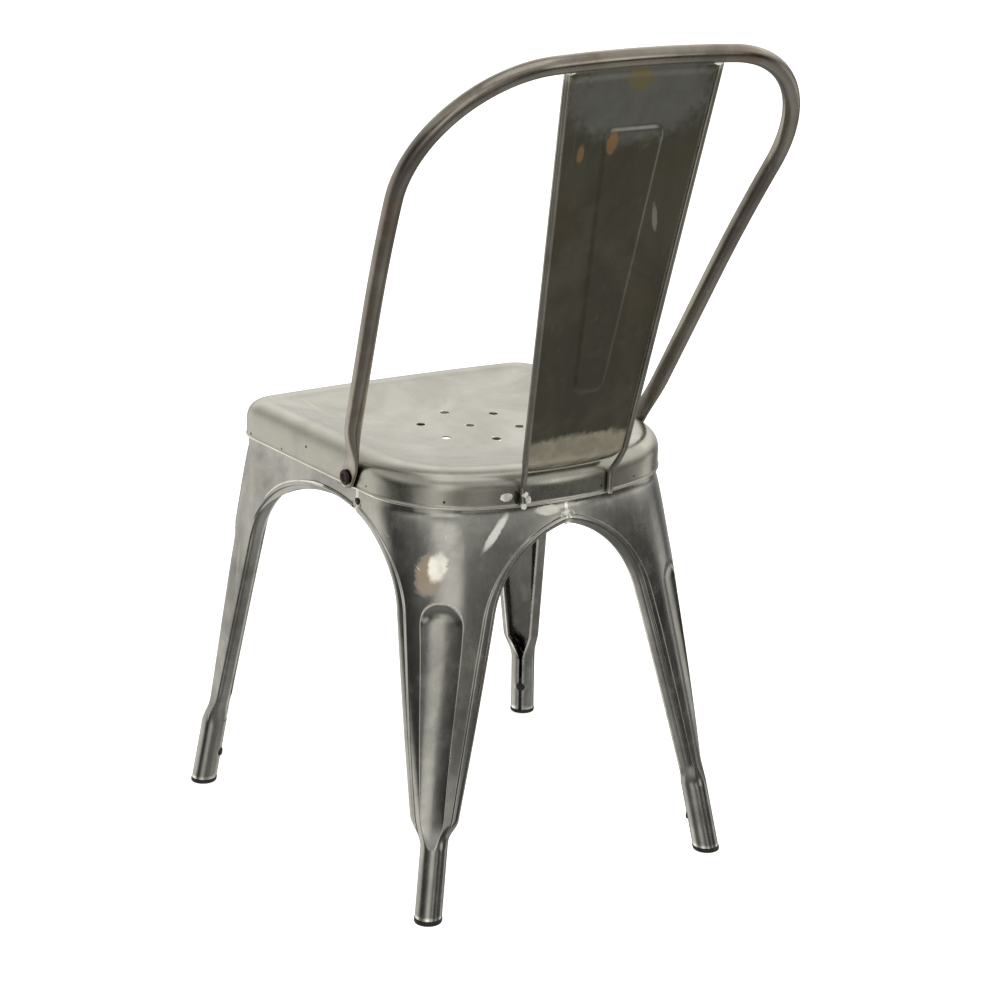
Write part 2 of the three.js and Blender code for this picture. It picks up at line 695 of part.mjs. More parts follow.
// The seat's rear edge at x: the skirt's face and its lower height.
function skirtRear(x) {
  const s = solve((length) => -seatRear.at(length).x, -x, seatRear.lengthAtAngle(40), seatRear.length);
  const { y } = seatRear.at(s);
  return { y, z: skirtLow(y) };
}

// The splat's rear face: rise above 0 is the straight part, from 0 to -1 the bend on to the rim.
function splatPoint(across, rise) {
  if (rise >= 0) {
    const edge = splatLine(1, rise).x;
    const share = 1 - (ROD_RADIUS + GAP) / edge;
    const p = splatLine(across * share, rise);
    return p.add(new THREE.Vector3(0, embossLift(p), 0));
  }
  const top = splatPoint(across, 0);
  const x = across * (ROD_FOOT_X - ROD_RADIUS - GAP * 3);
  const rim = skirtRear(Math.abs(x));
  const contact = RIM_RADIUS + SHEET + GAP * 1.5;
  const end = new THREE.Vector3(
    x,
    rim.y - RIM_RADIUS + contact * Math.cos(rad(50)),
    rim.z + SKIRT_RISE - RIM_RADIUS + contact * Math.sin(rad(50)),
  );
  const knee = top.clone().add(new THREE.Vector3(0, -2.3, -10.5));
  knee.x = lerp(top.x, end.x, 0.4);
  return bezier(top, knee, end, -rise);
}

// Half width of the raised panel at height z.
const embossHalf = (z) =>
  lerp(EMBOSS.halfLow, EMBOSS.halfTop, (z - EMBOSS.lowZ) / (EMBOSS.topZ - EMBOSS.lowZ));

// How far the pressed panel stands out of the splat's rear face.
function embossLift({ x, z }) {
  const inside = Math.min(embossHalf(z) - Math.abs(x), EMBOSS.topZ - z, z - EMBOSS.lowZ);
  return EMBOSS.depth * smooth(inside, 0, EMBOSS.edge);
}

function backSplat() {
  const step = EMBOSS.edge;
  const span = (rise) => splatPoint(1, rise).x;
  const across = (rise) => {
    const z = Math.max(splatLine(0, Math.max(rise, 0)).z, EMBOSS.lowZ);
    const half = embossHalf(z);
    const inner = [half, half - step].map((x) => x / span(rise));
    const right = [1, (1 + inner[0]) / 2, ...inner];
    return [...right, 0, ...right.map((x) => -x).reverse()];
  };
  const heightAt = (z) => (z - SPLAT.z) / (splatLine(0, 1).z - SPLAT.z);
  const steps = [EMBOSS.lowZ, EMBOSS.lowZ + step, EMBOSS.topZ - step, EMBOSS.topZ].map(heightAt);
  const middle = [1, 2, 3].map((i) => lerp(steps[1], steps[2], i / 4));
  const rises = [-1, -0.66, -0.33, 0, steps[0], steps[1], ...middle, steps[2], steps[3], 1];
  return sheet(rises.map((rise) => across(rise).map((share) => splatPoint(share, rise))));
}

// The rod along the splat's left edge, over the seat's rim and down the skirt.
function splatRod() {
  const rim = skirtRear(ROD_FOOT_X);
  const face = rim.y + ROD_RADIUS + GAP;
  const foot = new THREE.Vector3(ROD_FOOT_X, face, rim.z + 0.5);
  const shoulder = new THREE.Vector3(ROD_FOOT_X + 1, face, rim.z + SKIRT_RISE - RIM_RADIUS + 4);
  const bend = splatLine(1, 0);
  const knee = new THREE.Vector3(lerp(shoulder.x, bend.x, 0.6), bend.y - 2.3, bend.z - 10.5);
  const curve = [0.25, 0.5, 0.75, 1].map((t) => bezier(shoulder, knee, bend, t));
  const line = [0.5, 1].map((rise) => splatLine(1, rise));
  const points = [foot, shoulder, ...curve, ...line];
  const stations = points.map((p, i) => {
    const before = points[Math.max(i - 1, 0)];
    const after = points[Math.min(i + 1, points.length - 1)];
    const tangent = after.clone().sub(before).normalize();
    const side = new THREE.Vector3(1, 0, 0).addScaledVector(tangent, -tangent.x).normalize();
    return { p, side, out: side.clone().cross(tangent), half: ROD_RADIUS, width: ROD_RADIUS };
  });
  return swept(stations, 8);
}

// ---- foot caps and brace ----

// A rubber cap under a foot with its plug inside the tube and the stud that locks in the notch.
function footCap(leg) {
  const plug = turned(
    [[0, 0], [CAP.radius - 0.8, 0], [CAP.radius, 0.8], [CAP.radius, CAP.height], [CAP.plug, CAP.height],
      [CAP.plug, CAP.plugTop], [0, CAP.plugTop]],
    20,
    new THREE.Vector3(),
  );
  const shiftX = (leg.neck.x - leg.foot.x) / NECK_Z;
  const shiftY = (leg.neck.y - leg.foot.y) / NECK_Z;
  const sheared = plug.transform([
    ...[1, 0, 0, 0],
    ...[0, 1, 0, 0],
    ...[shiftX, shiftY, 1, 0],
    ...[leg.foot.x, leg.foot.y, 0, 1],
  ]);
  const a = rad(FLUTE_ANGLE_NECK + 180);
  const stud = turned(
    rod(NOTCH.radius - 0.5, 4, TUBE_RADIUS + 1),
    14,
    tubeAxis(leg, NOTCH.z),
    new THREE.Vector3(Math.cos(a), Math.sin(a), 0),
  );
  return sheared.add(stud);
}

// One flat bar of the cross under the seat, from the rear left corner to the front right one.
function braceBar(z) {
  const cornerOf = (leg, sx, sy) => {
    const p = facePoint(leg, 0, z);
    return new THREE.Vector2(sx * p.x, sy * p.y);
  };
  const rear = cornerOf(LEGS.rear, 1, 1);
  const front = cornerOf(LEGS.front, -1, -1);
  const dir = rear.clone().sub(front).normalize();
  const inset = SHEET + GAP + BRACE.width * 0.22;
  rear.addScaledVector(dir, -inset);
  front.addScaledVector(dir, inset);
  const middle = rear.clone().add(front).multiplyScalar(0.5);
  const bar = new THREE.BoxGeometry(rear.distanceTo(front), BRACE.width, BRACE.thick);
  bar.rotateZ(dir.angle()).translate(middle.x, middle.y, z);
  return toSolid(bar).subtract(turned(rod(BOLT.shank, -4, 4), 14, braceCross(z)));
}

// The point where the two bars cross: on the middle line of the chair.
function braceCross(z) {
  const rear = facePoint(LEGS.rear, 0, BRACE.z);
  const front = facePoint(LEGS.front, 0, BRACE.z);
  const share = rear.x / (rear.x + front.x);
  return new THREE.Vector3(0, lerp(rear.y, -front.y, share), z);
}

function braceRivet() {
  const low = BRACE.z - BRACE.thick / 2 - GAP;
  const high = BRACE.z + BRACE.thick * 1.5 + GAP * 2;
  const shank = BOLT.shank - GAP;
  return turned(
    [[0, low - 2.6], [5, low - 1.8], [6.5, low], [shank, low], [shank, high], [6.5, high], [5, high + 1.8],
      [0, high + 2.6]],
    16,
    braceCross(0),
  );
}

// ---- assembly ----

const chair = new THREE.Group();
chair.name = "chair";
chair.position.y = SHIFT_Y;

const FINISHES = {
  steel: { color: 0x8d8a82, metalness: 1, roughness: 0.32 },
  darkSteel: { color: 0x5c5850, metalness: 1, roughness: 0.35 },
  blackSteel: { color: 0x2a2826, metalness: 0.8, roughness: 0.5 },
  rubber: { color: 0x121212, metalness: 0, roughness: 0.75 },
};

function add(name, solid, finish) {
  const mesh = new THREE.Mesh(toGeometry(solid), new THREE.MeshStandardMaterial(FINISHES[finish]));
  mesh.name = name;
  chair.add(mesh);
}

const { bolt, washer, nut, bore } = boltHardware();
const mirrorX = (solid) => solid.mirror([1, 0, 0]);
const bores = bore.add(mirrorX(bore));

add("seat_pan", seatPan().subtract(bores), "steel");
for (const [end, leg] of Object.entries(LEGS)) {
  const front = end === "front";
  const turnBack = (solid) => (front ? solid.mirror([0, 1, 0]) : solid);
  const left = turnBack(legSolid(leg)).subtract(bore);
  const cap = turnBack(footCap(leg));
  add(`leg_${end}_left`, left, "steel");
  add(`leg_${end}_right`, mirrorX(left), "steel");
  add(`foot_cap_${end}_left`, cap, "rubber");
  add(`foot_cap_${end}_right`, mirrorX(cap), "rubber");
}
add("back_hoop", backHoop(), "darkSteel");
add("back_splat", backSplat(), "darkSteel");
for (const [name, solid, finish] of [
  ["splat_rod", splatRod(), "darkSteel"],
  ["hoop_bolt", bolt, "blackSteel"],
  ["hoop_washer", washer, "steel"],
  ["hoop_nut", nut, "steel"],
]) {
  add(`${name}_left`, solid, finish);
  add(`${name}_right`, mirrorX(solid), finish);
}
const upperZ = BRACE.z + BRACE.thick + GAP;
add("brace_bar_lower", braceBar(BRACE.z), "steel");
add("brace_bar_upper", mirrorX(braceBar(upperZ)), "steel");
add("brace_rivet", braceRivet(), "steel");

export default chair;
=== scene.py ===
"""Looks for the bare steel stacking chair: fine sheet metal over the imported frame.

The shapes are worked out in millimetres in the seat's own frame and moved into the row frame
when a mesh is made. The chair faces -Y and +Z is up.
"""

import math

import bmesh
import bpy
import numpy as np
from mathutils import Matrix, Vector, noise


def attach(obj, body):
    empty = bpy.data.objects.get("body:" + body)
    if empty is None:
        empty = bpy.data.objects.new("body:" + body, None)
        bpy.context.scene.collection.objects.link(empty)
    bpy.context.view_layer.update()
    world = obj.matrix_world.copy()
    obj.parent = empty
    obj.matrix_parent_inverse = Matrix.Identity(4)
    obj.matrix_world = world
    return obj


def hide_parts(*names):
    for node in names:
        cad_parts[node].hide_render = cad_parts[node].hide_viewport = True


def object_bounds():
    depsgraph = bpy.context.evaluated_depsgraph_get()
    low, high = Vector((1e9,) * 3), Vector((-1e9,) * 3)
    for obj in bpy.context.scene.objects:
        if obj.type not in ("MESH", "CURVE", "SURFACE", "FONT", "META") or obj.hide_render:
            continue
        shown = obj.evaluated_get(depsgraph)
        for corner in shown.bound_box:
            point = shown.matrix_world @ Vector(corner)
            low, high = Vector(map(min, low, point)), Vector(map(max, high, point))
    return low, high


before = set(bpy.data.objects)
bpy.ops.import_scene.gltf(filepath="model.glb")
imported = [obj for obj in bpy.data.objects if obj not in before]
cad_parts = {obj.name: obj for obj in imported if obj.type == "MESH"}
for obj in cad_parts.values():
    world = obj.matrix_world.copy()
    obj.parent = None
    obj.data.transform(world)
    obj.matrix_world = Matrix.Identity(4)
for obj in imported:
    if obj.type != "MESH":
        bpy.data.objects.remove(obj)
CAD_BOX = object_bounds()

# ---- driving dimensions in millimetres, the same as the CAD's unless a note says so ----
SHEET = 1.2
GAP = 0.35
SEAT_HALF = 170
SEAT_SPLAY = 4.6
SEAT_REAR = dict(reach=170.7, corner=99.5, crown=285)
SEAT_FRONT = dict(reach=187, corner=36, crown=2200)
SKIRT_LOW = 399.6
SKIRT_RISE = 36
SEAT_TILT = math.tan(math.radians(1.1))
RIM_RADIUS = 17
DISH = dict(depth=9, border=22, run=92)  # the dish reaches its depth a run past the flat border
DRAIN = dict(y=-9.9, ring=50.7, radius=4.8, holes=7)
NECK_Z = 74
APRON_Z = 391
LEG_TOP_Z = 413
TUBE_RADIUS = 13.4
CHANNEL_Z = 98
SLIT_HALF_ANGLE = 8
NOTCH = dict(z=36, radius=5.2)
REAR_FOOT = dict(x=168.7, y=200.7)
FRONT_FOOT = dict(x=207.4, y=213.1)
REAR_NECK = dict(x=156.4, y=189.7, drift_x=0.05, drift_y=0.2)
FRONT_NECK = dict(x=199, y=201.6, drift_x=0.08, drift_y=0.12)
CORNER_EASE = 1.25
APRON_FLARE = 0.75
SIDE_NECK = dict(half=188.5, splay=5.76)
REAR_SKIN_NECK = dict(reach=225.5, corner=13, crown=540)
FRONT_SKIN_NECK = dict(reach=221.5, corner=13, crown=3000)
REAR_ARCH = dict(half=143.5, lean=-14.4, corner=108, crown=400, reach=304.7)
FRONT_ARCH = dict(half=183, lean=-10, corner=96, crown=400, reach=304.7)
SIDE_ARCH = dict(half=178.2, lean=-12.7, corner=104, crown=190, reach=308.3)
SIDE_ARCH_Y = -7
SIDE_JOINT_Y = 47
ROLL_RADIUS = 5
FLANGE = 7
FLUTE = dict(radius=21, depth=8, dome_z=287, taper=0.046, tip=30)
FLUTE_ANGLE_NECK = 45
FLUTE_ANGLE_TOP = 51
HOOP = dict(y=46.9, z=428.7, lean=26.1)
HOOP_ARCH = dict(half=175.2, lean=6.7, corner=123.4, crown=1461, reach=459.5)
HOOP_BOW = 27
HOOP_RADIUS = 8.45  # the CAD's is 8.6; its flat facets would let a round tube of that size stand out
HOOP_WALL = 1.2
TAB = dict(half=11.5, tip=3, thick=2.3, bolt_drop=21.5, end=33, flat_to=-14, round_from=50)
TAB_GAP = GAP * 1.4
BOLT = dict(shank=3.6, drill=3.95, edge=7.2, head=7.8, tail=13)
SPLAT = dict(half_top=84.9, half_low=58.1, y=182.8, z=447, length=385, lip=1.4)
KNEE = dict(back=-2.3, drop=-10.5)  # where splat and rods bend over the rim, from the splat's foot
ROD_RADIUS = 3
ROD_FOOT_X = 50.3
# The panel's edge is a little steeper than the CAD's 4.
EMBOSS = dict(half_top=34, half_low=17.5, top_z=776.4, low_z=512, depth=1.6, edge=3.5, corner=11)
CAP = dict(radius=13.9, height=4.6, plug=11.6, plug_top=48)
BEAD = dict(height=1.7, inner=8, outer=5.5)  # raised strip beside every arch, distances from the roll
STRIP = 12  # finely divided strip of each leg's face beside the arches
WING_FROM = 1.12  # where the smooth wing starts, in half widths of the flute
TUBE_ROWS = 22
ARCH_ROWS = 130
JOINT_WELD_Z = dict(rear=384, side=386)

# The row frame's origin is the middle of the floor rectangle, from the front feet to the hoop.
REAR_END = 284.75
SHIFT_Y = (FRONT_FOOT["y"] + CAP["radius"] - REAR_END) / 2
INSET = SHEET + 2 * GAP


def lerp(a, b, t):
    return a + (b - a) * t


def smooth(x, low, high):
    t = min(max((x - low) / (high - low), 0), 1)
    return t * t * (3 - 2 * t)


def solve(rising, value, low, high):
    """The length at which rising(s) passes a value."""
    for _ in range(36):
        middle = (low + high) / 2
        if rising(middle) < value:
            low = middle
        else:
            high = middle
    return (low + high) / 2


class Arch:
    """Half an arch: a straight leg from (half, 0), a corner arc and a crown arc to (0, reach)."""

    def __init__(self, half, lean, corner, crown, reach):
        a = math.radians(lean)
        self.half = half
        self.dir = np.array([math.sin(a), math.cos(a)])
        inward = np.array([-self.dir[1], self.dir[0]])
        self.crown_centre = np.array([0, reach - crown])
        start = np.array([half, 0.0])
        o = start + inward * corner - self.crown_centre
        b = o @ self.dir
        self.leg = -b + math.sqrt(b * b - o @ o + (crown - corner) ** 2)
        self.corner_centre = start + self.dir * self.leg + inward * corner
        self.first_angle = math.atan2(-inward[1], -inward[0])
        spoke = self.corner_centre - self.crown_centre
        self.crown_angle = math.atan2(spoke[1], spoke[0])
        self.corner, self.crown = corner, crown
        self.corner_length = corner * (self.crown_angle - self.first_angle)
        self.length = self.leg + self.corner_length + crown * (math.pi / 2 - self.crown_angle)

    def at(self, s):
        """Point and outward normal at length s, as x, y, nx, ny."""
        if s > self.length:
            x, y, nx, ny = self.at(2 * self.length - s)
            return -x, y, -nx, ny
        angle = self.first_angle
        if s < self.leg:
            x, y = self.half + self.dir[0] * s, self.dir[1] * s
            return x, y, math.cos(angle), math.sin(angle)
        centre, radius = self.corner_centre, self.corner
        angle += (s - self.leg) / self.corner
        if s > self.leg + self.corner_length:
            centre, radius = self.crown_centre, self.crown
            angle = self.crown_angle + (s - self.leg - self.corner_length) / self.crown
        nx, ny = math.cos(angle), math.sin(angle)
        return centre[0] + radius * nx, centre[1] + radius * ny, nx, ny

    def length_at_angle(self, degrees):
        return self.leg + self.corner * (math.radians(degrees) - self.first_angle)


seat_rear = Arch(half=SEAT_HALF, lean=-SEAT_SPLAY, **SEAT_REAR)
seat_front = Arch(half=SEAT_HALF, lean=SEAT_SPLAY, **SEAT_FRONT)
hoop_arch = Arch(**HOOP_ARCH)
side_arch = Arch(**SIDE_ARCH)


def skirt_low(y):
    return SKIRT_LOW - SEAT_TILT * y


def skirt_side_x(y):
    return SEAT_HALF - y * math.tan(math.radians(SEAT_SPLAY))


# ---- meshes ----

def place(points):
    """Millimetres of the seat's frame to metres of the row's frame."""
    p = np.asarray(points, float).reshape(-1, 3).copy()
    p[:, 1] += SHIFT_Y
    return p * 0.001


def closed_mesh(name, points, faces, weld):
    """A mesh in the row frame with its double points joined and its faces turned outward."""
    mesh = bpy.data.meshes.new(name)
    mesh.from_pydata(place(points).tolist(), [], [list(f) for f in faces])
    mesh.validate()
    bm = bmesh.new()
    bm.from_mesh(mesh)
    bmesh.ops.remove_doubles(bm, verts=bm.verts, dist=weld)
    bmesh.ops.recalc_face_normals(bm, faces=bm.faces)
    bm.to_mesh(mesh)
    bm.free()
    return mesh


def piece(name, points, faces, material, replaces=(), sharp=40):
    """A smooth shaded object that rides on the root and stands for the named CAD nodes."""
    mesh = closed_mesh(name, points, faces, 1e-6)
    mesh.shade_smooth()
    mesh.set_sharp_from_angle(angle=math.radians(sharp))
    obj = bpy.data.objects.new(name, mesh)
    bpy.context.collection.objects.link(obj)
    obj.data.materials.append(material)
    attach(obj, "root")
    if replaces:
        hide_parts(*replaces)
    return obj


def sheet(rows, thick=SHEET, keep=None, wrap=False):
    """Points and faces of a closed sheet: rows are its outer skin, the second lies inside."""
    grid = np.array(rows, float)
    high, wide, _ = grid.shape
    outer = grid.reshape(-1, 3)
    quads = []
    for i in range(high - 1):
        for j in range(wide if wrap else wide - 1):
            k = (j + 1) % wide
            if keep is None or keep(i, j):
                quads.append((i * wide + j, i * wide + k, (i + 1) * wide + k, (i + 1) * wide + j))
    quads = np.array(quads)
    diagonal_a = outer[quads[:, 2]] - outer[quads[:, 0]]
    diagonal_b = outer[quads[:, 3]] - outer[quads[:, 1]]
    face_normals = np.cross(diagonal_a, diagonal_b)
    normals = np.zeros_like(outer)
    for corner in range(4):
        np.add.at(normals, quads[:, corner], face_normals)
    normals /= np.linalg.norm(normals, axis=1)[:, None] + 1e-12
    count = len(outer)
    points = np.vstack([outer, outer - normals * thick])
    faces = [tuple(q) for q in quads] + [tuple(q[::-1] + count) for q in quads]
    edges = {}
    for q in quads:
        for m, n in zip(q, np.roll(q, -1)):
            if (n, m) in edges:
                del edges[(n, m)]
            else:
                edges[(m, n)] = True
    faces += [(m, m + count, n + count, n) for m, n in edges]
    return points, faces


def swept(stations, sides, wall=0):
    """A tube or bar along stations (point, side, out, half, width); wall > 0 leaves it hollow."""
    skins = [0, wall] if wall else [0]
    points = []
    for inset in skins:
        for p, side, out, half, width in stations:
            for k in range(sides):
                a = 2 * math.pi * k / sides
                across = side * (width - inset) * math.cos(a)
                points.append(p + across + out * (half - inset) * math.sin(a))
    layer = len(stations) * sides
    last = layer - sides
    faces = []
    for s in range(len(skins)):
        for i in range(0, last, sides):
            for k in range(sides):
                a, b = s * layer + i + k, s * layer + i + (k + 1) % sides
                faces.append((a, b, b + sides, a + sides))
    if wall:
        for k in range(sides):
            n = (k + 1) % sides
            faces.append((k, layer + k, layer + n, n))
            faces.append((last + k, last + n, layer + last + n, layer + last + k))
    else:
        faces.append(tuple(range(sides)))
        faces.append(tuple(last + k for k in range(sides)))
    return points, faces


def turned(profile, sides, at, axis, shear=(0, 0)):
    """A lathed solid from (radius, height) pairs, along an axis from a place."""
    axis = Vector(axis).normalized()
    turn = Vector((0, 0, 1)).rotation_difference(axis).to_matrix()
    points = []
    for radius, height in profile:
        for k in range(sides):
            a = 2 * math.pi * k / sides
            local = turn @ Vector((radius * math.cos(a), radius * math.sin(a), height))
            points.append(np.array(at) + np.array(local) + np.array([*shear, 0]) * height)
    faces = []
    for i in range(len(profile) - 1):
        for k in range(sides):
            n = (k + 1) % sides
            faces.append((i * sides + k, i * sides + n, (i + 1) * sides + n, (i + 1) * sides + k))
    return points, faces


def mirror(points, x=1, y=1):
    return np.asarray(points, float) * np.array([x, y, 1])


def cut(obj, cutters):
    """Takes (points, faces) solids out of an object for good."""
    for points, faces in cutters:
        tool = bpy.data.objects.new("cutter", closed_mesh("cutter", points, faces, 1e-7))
        bpy.context.collection.objects.link(tool)
        modifier = obj.modifiers.new("cut", "BOOLEAN")
        modifier.object = tool
        modifier.solver = "EXACT"
        bpy.context.view_layer.update()
        evaluated = obj.evaluated_get(bpy.context.evaluated_depsgraph_get())
        result = bpy.data.meshes.new_from_object(evaluated)
        obj.modifiers.clear()
        old = obj.data
        obj.data = result
        bpy.data.meshes.remove(old)
        bpy.data.objects.remove(tool)


# ---- seat pan ----

def seat_loop():
    """Points round the seat with outward normals, counter clockwise, evenly fine."""
    quarter = []
    for half, sign in ((seat_front, -1), (seat_rear, 1)):
        count = 66
        lengths = [half.length * i / count for i in range(count + 1)]
        lengths = lengths[::-1] if sign < 0 else lengths
        quarter += [(x, sign * y, nx, sign * ny) for x, y, nx, ny in map(half.at, lengths)][sign > 0:]
    left = [(-x, y, -nx, ny) for x, y, nx, ny in quarter[1:-1]][::-1]
    return quarter + left


def dish_depth(inset):
    """Depth of the dish below the rim, with a soft crease where it starts."""
    border = DISH["border"]
    u = min(max((inset - border) / DISH["run"], 0), 1)
    return DISH["depth"] * (1 - (1 - u) ** 2) * smooth(inset, border - 3, border + 9)


def seat_rows():
    loop = np.array(seat_loop())
    xy, normal = loop[:, :2], loop[:, 2:]

    def row(inset, up):
        p = xy - normal * inset
        z = skirt_low(p[:, 1]) + up
        return np.column_stack([p, z])

    hem = [(0.1, 0), (-0.6, 0.25), (-1.0, 1.0), (-1.0, 1.8), (-0.5, 2.7), (0, 3.4), (0, 5)]
    rows = [row(*h) for h in hem]
    wall_top = SKIRT_RISE - RIM_RADIUS
    rows += [row(0, up) for up in np.linspace(8, wall_top, 6)]
    for a in np.radians(np.linspace(0, 90, 13))[1:]:
        inset = RIM_RADIUS * (1 - math.cos(a))
        rows.append(row(inset, SKIRT_RISE - RIM_RADIUS * (1 - math.sin(a))))
    border = rows[-1][:, :2]
    centre = np.array([0, DRAIN["y"]])
    for scale in np.linspace(1, 0.02, 60)[1:]:
        inset = RIM_RADIUS + (1 - scale) * (SEAT_HALF - RIM_RADIUS)
        p = centre + (border - centre) * scale
        z = skirt_low(p[:, 1]) + SKIRT_RISE - dish_depth(inset)
        rows.append(np.column_stack([p, z]))
    return rows


def hoop_plane(x, up):
    """A point of the hoop's bowed plane: x across, up along the leaning plane."""
    lean = math.radians(HOOP["lean"])
    bowed = min(max((up / HOOP_ARCH["reach"] - 0.4) / 0.6, 0), 1)
    y = HOOP["y"] + up * math.sin(lean) + HOOP_BOW * bowed * bowed
    return np.array([x, y, HOOP["z"] + up * math.cos(lean)])


def bolt_place():
    p = hoop_plane(0, -TAB["bolt_drop"])
    p[0] = skirt_side_x(p[1])
    a = math.radians(SEAT_SPLAY)
    return p, np.array([math.cos(a), math.sin(a), 0])


def make_seat(material):
    rows = seat_rows()
    points, faces = sheet(rows, wrap=True)
    # Closes the small ring left at the middle of both skins.
    wide = len(rows[0])
    top = (len(rows) - 1) * wide
    count = len(points) // 2
    inner_edges = {(top + k, top + (k + 1) % wide) for k in range(wide)}
    faces = [f for f in faces if (f[0], f[3]) not in inner_edges or f[1] != f[0] + count]
    faces.append(tuple(top + k for k in range(wide)))
    faces.append(tuple(count + top + k for k in reversed(range(wide))))
    seat = piece("seat", points, faces, material, ["seat_pan"])
    holes = []
    r, low, depth = DRAIN["radius"], LEG_TOP_Z - 1, 30
    for i in range(DRAIN["holes"]):
        a = math.radians(60 * i)
        reach = DRAIN["ring"] if i < DRAIN["holes"] - 1 else 0
        at = (reach * math.sin(a), DRAIN["y"] + reach * math.cos(a), low)
        holes.append(turned([(0, 0), (r, 0), (r, depth), (0, depth)], 40, at, (0, 0, 1)))
    cut(seat, holes)
    return seat


# ---- legs ----

LEGS = {
    "rear": dict(foot=REAR_FOOT, neck=REAR_NECK, skin_neck=REAR_SKIN_NECK, seat=SEAT_REAR,
                 splay=-1, arch=Arch(**REAR_ARCH), arch_y=SIDE_ARCH_Y, joint=SIDE_JOINT_Y + GAP / 2),
    "front": dict(foot=FRONT_FOOT, neck=FRONT_NECK, skin_neck=FRONT_SKIN_NECK, seat=SEAT_FRONT,
                  splay=1, arch=Arch(**FRONT_ARCH), arch_y=-SIDE_ARCH_Y, joint=-SIDE_JOINT_Y + GAP / 2),
}
skins = {}


def skin(leg, z):
    """The outline on which the leg's outer face lies at height z."""
    key = (leg["splay"], round(z, 2))
    if key not in skins:
        t = min(max((APRON_Z - z) / (APRON_Z - NECK_Z), 0), 1)
        flare = t ** APRON_FLARE
        seat, neck = leg["seat"], leg["skin_neck"]
        skins[key] = Arch(
            half=lerp(SEAT_HALF - INSET, SIDE_NECK["half"], t),
            lean=leg["splay"] * lerp(SEAT_SPLAY, SIDE_NECK["splay"], t),
            corner=lerp(seat["corner"] - INSET, neck["corner"], t ** CORNER_EASE),
            crown=lerp(seat["crown"] - INSET, neck["crown"], flare),
            reach=lerp(seat["reach"] - INSET, neck["reach"], flare),
        )
    return skins[key]


def flute_middle(outline, z):
    t = smooth(z, NECK_Z, FLUTE["dome_z"])
    return outline.length_at_angle(lerp(FLUTE_ANGLE_NECK, FLUTE_ANGLE_TOP, t))


def flute_radius(z):
    """Half width of the flute: it narrows evenly downwards and closes in a round tip."""
    below = max(FLUTE["dome_z"] - z, 0)
    closing = min(max((z - NECK_Z) / FLUTE["tip"], 0), 1)
    return (FLUTE["radius"] - FLUTE["taper"] * below) * (1 - (1 - closing) ** 2) ** 0.65


def flute_depth(offset, z):
    radius = flute_radius(z)
    above = max(z - FLUTE["dome_z"], 0)
    if radius < 0.01:
        return 0
    u = (offset * offset + above * above) / radius ** 2
    return FLUTE["depth"] * radius / FLUTE["radius"] * max(1 - u, 0) ** 0.8


def face_point(leg, offset, z, lift=0, fluted=True):
    outline = skin(leg, z)
    x, y, nx, ny = outline.at(flute_middle(outline, z) + offset)
    out = lift - flute_depth(offset, z) * fluted
    return np.array([x + nx * out, y + ny * out, z])


def offset_at_x(leg, x, z):
    outline = skin(leg, z)
    middle = flute_middle(outline, z)
    return solve(lambda s: -outline.at(s)[0], -x, middle, outline.length) - middle


def offset_at_y(leg, y, z):
    outline = skin(leg, z)
    middle = flute_middle(outline, z)
    return solve(lambda s: outline.at(s)[1], y, -100, middle) - middle


def end_edge(leg, share):
    arch = leg["arch"]
    last = solve(lambda s: -arch.at(s)[0], -GAP / 2, 0, arch.length)
    x, y, _, _ = arch.at(share * last)
    return offset_at_x(leg, x, NECK_Z + y), NECK_Z + y


def side_edge(leg, share):
    joint = leg["arch_y"] - leg["joint"]
    last = solve(lambda s: -side_arch.at(s)[0], joint, 0, 2 * side_arch.length)
    x, y, _, _ = side_arch.at(share * last)
    return offset_at_y(leg, leg["arch_y"] + x, NECK_Z + y), NECK_Z + y


def unit(v):
    return v / (np.linalg.norm(v) + 1e-12)


def edge_frame(leg, edge_at, share, sign):
    """Where the face ends beside an arch, with the directions out of the leg and inward."""
    offset, z = edge_at(leg, share)
    p = face_point(leg, offset, z)
    before = face_point(leg, *edge_at(leg, max(share - 0.01, 0)))
    after = face_point(leg, *edge_at(leg, min(share + 0.01, 1)))
    along = unit(after - before)
    across = unit(p - face_point(leg, offset - sign * 2, z))
    up = unit(face_point(leg, offset, z + 2) - p)
    inward = unit(np.cross(up, across))
    if inward[0] + inward[1] > 0:
        inward = -inward
    out = unit(np.cross(inward, along))
    if out @ across < 0:
        out = -out
    if out[2] > 0.2:
        out = -out
    return dict(offset=offset - sign * ROLL_RADIUS * (out @ across), z=z - ROLL_RADIUS * out[2],
                out=out, inward=inward)


def leg_columns():
    """Columns from flute middle to flange: kind, value and the share of half the tube's turn."""
    inside = (0, 0.12, 0.25, 0.38, 0.5, 0.62, 0.74, 0.84, 0.92, 0.97, 1)
    kinds = [("flute", v) for v in (*inside, 1.03, 1.07, WING_FROM)]
    kinds += [("wing", v) for v in np.linspace(0, 1, 10)[1:]]
    kinds += [("strip", v) for v in (STRIP, 10, 9, 8, 7.2, 6.5, 5.8, 5, 3.5, 2, 0)]
    kinds += [("roll", v) for v in np.linspace(0, 1, 9)[1:]]
    kinds += [("flange", v) for v in (0.35, 0.7, 1)]
    reach = {"flute": (0, 0.22), "wing": (0.22, 0.36), "strip": (0.36, 0.5), "roll": (0.5, 0.8),
             "flange": (0.8, 1)}
    out = []
    for kind, value in kinds:
        share = value
        if kind == "flute":
            share = value / WING_FROM
        elif kind == "strip":
            share = 1 - value / STRIP
        out.append((kind, value, lerp(*reach[kind], share)))
    return out


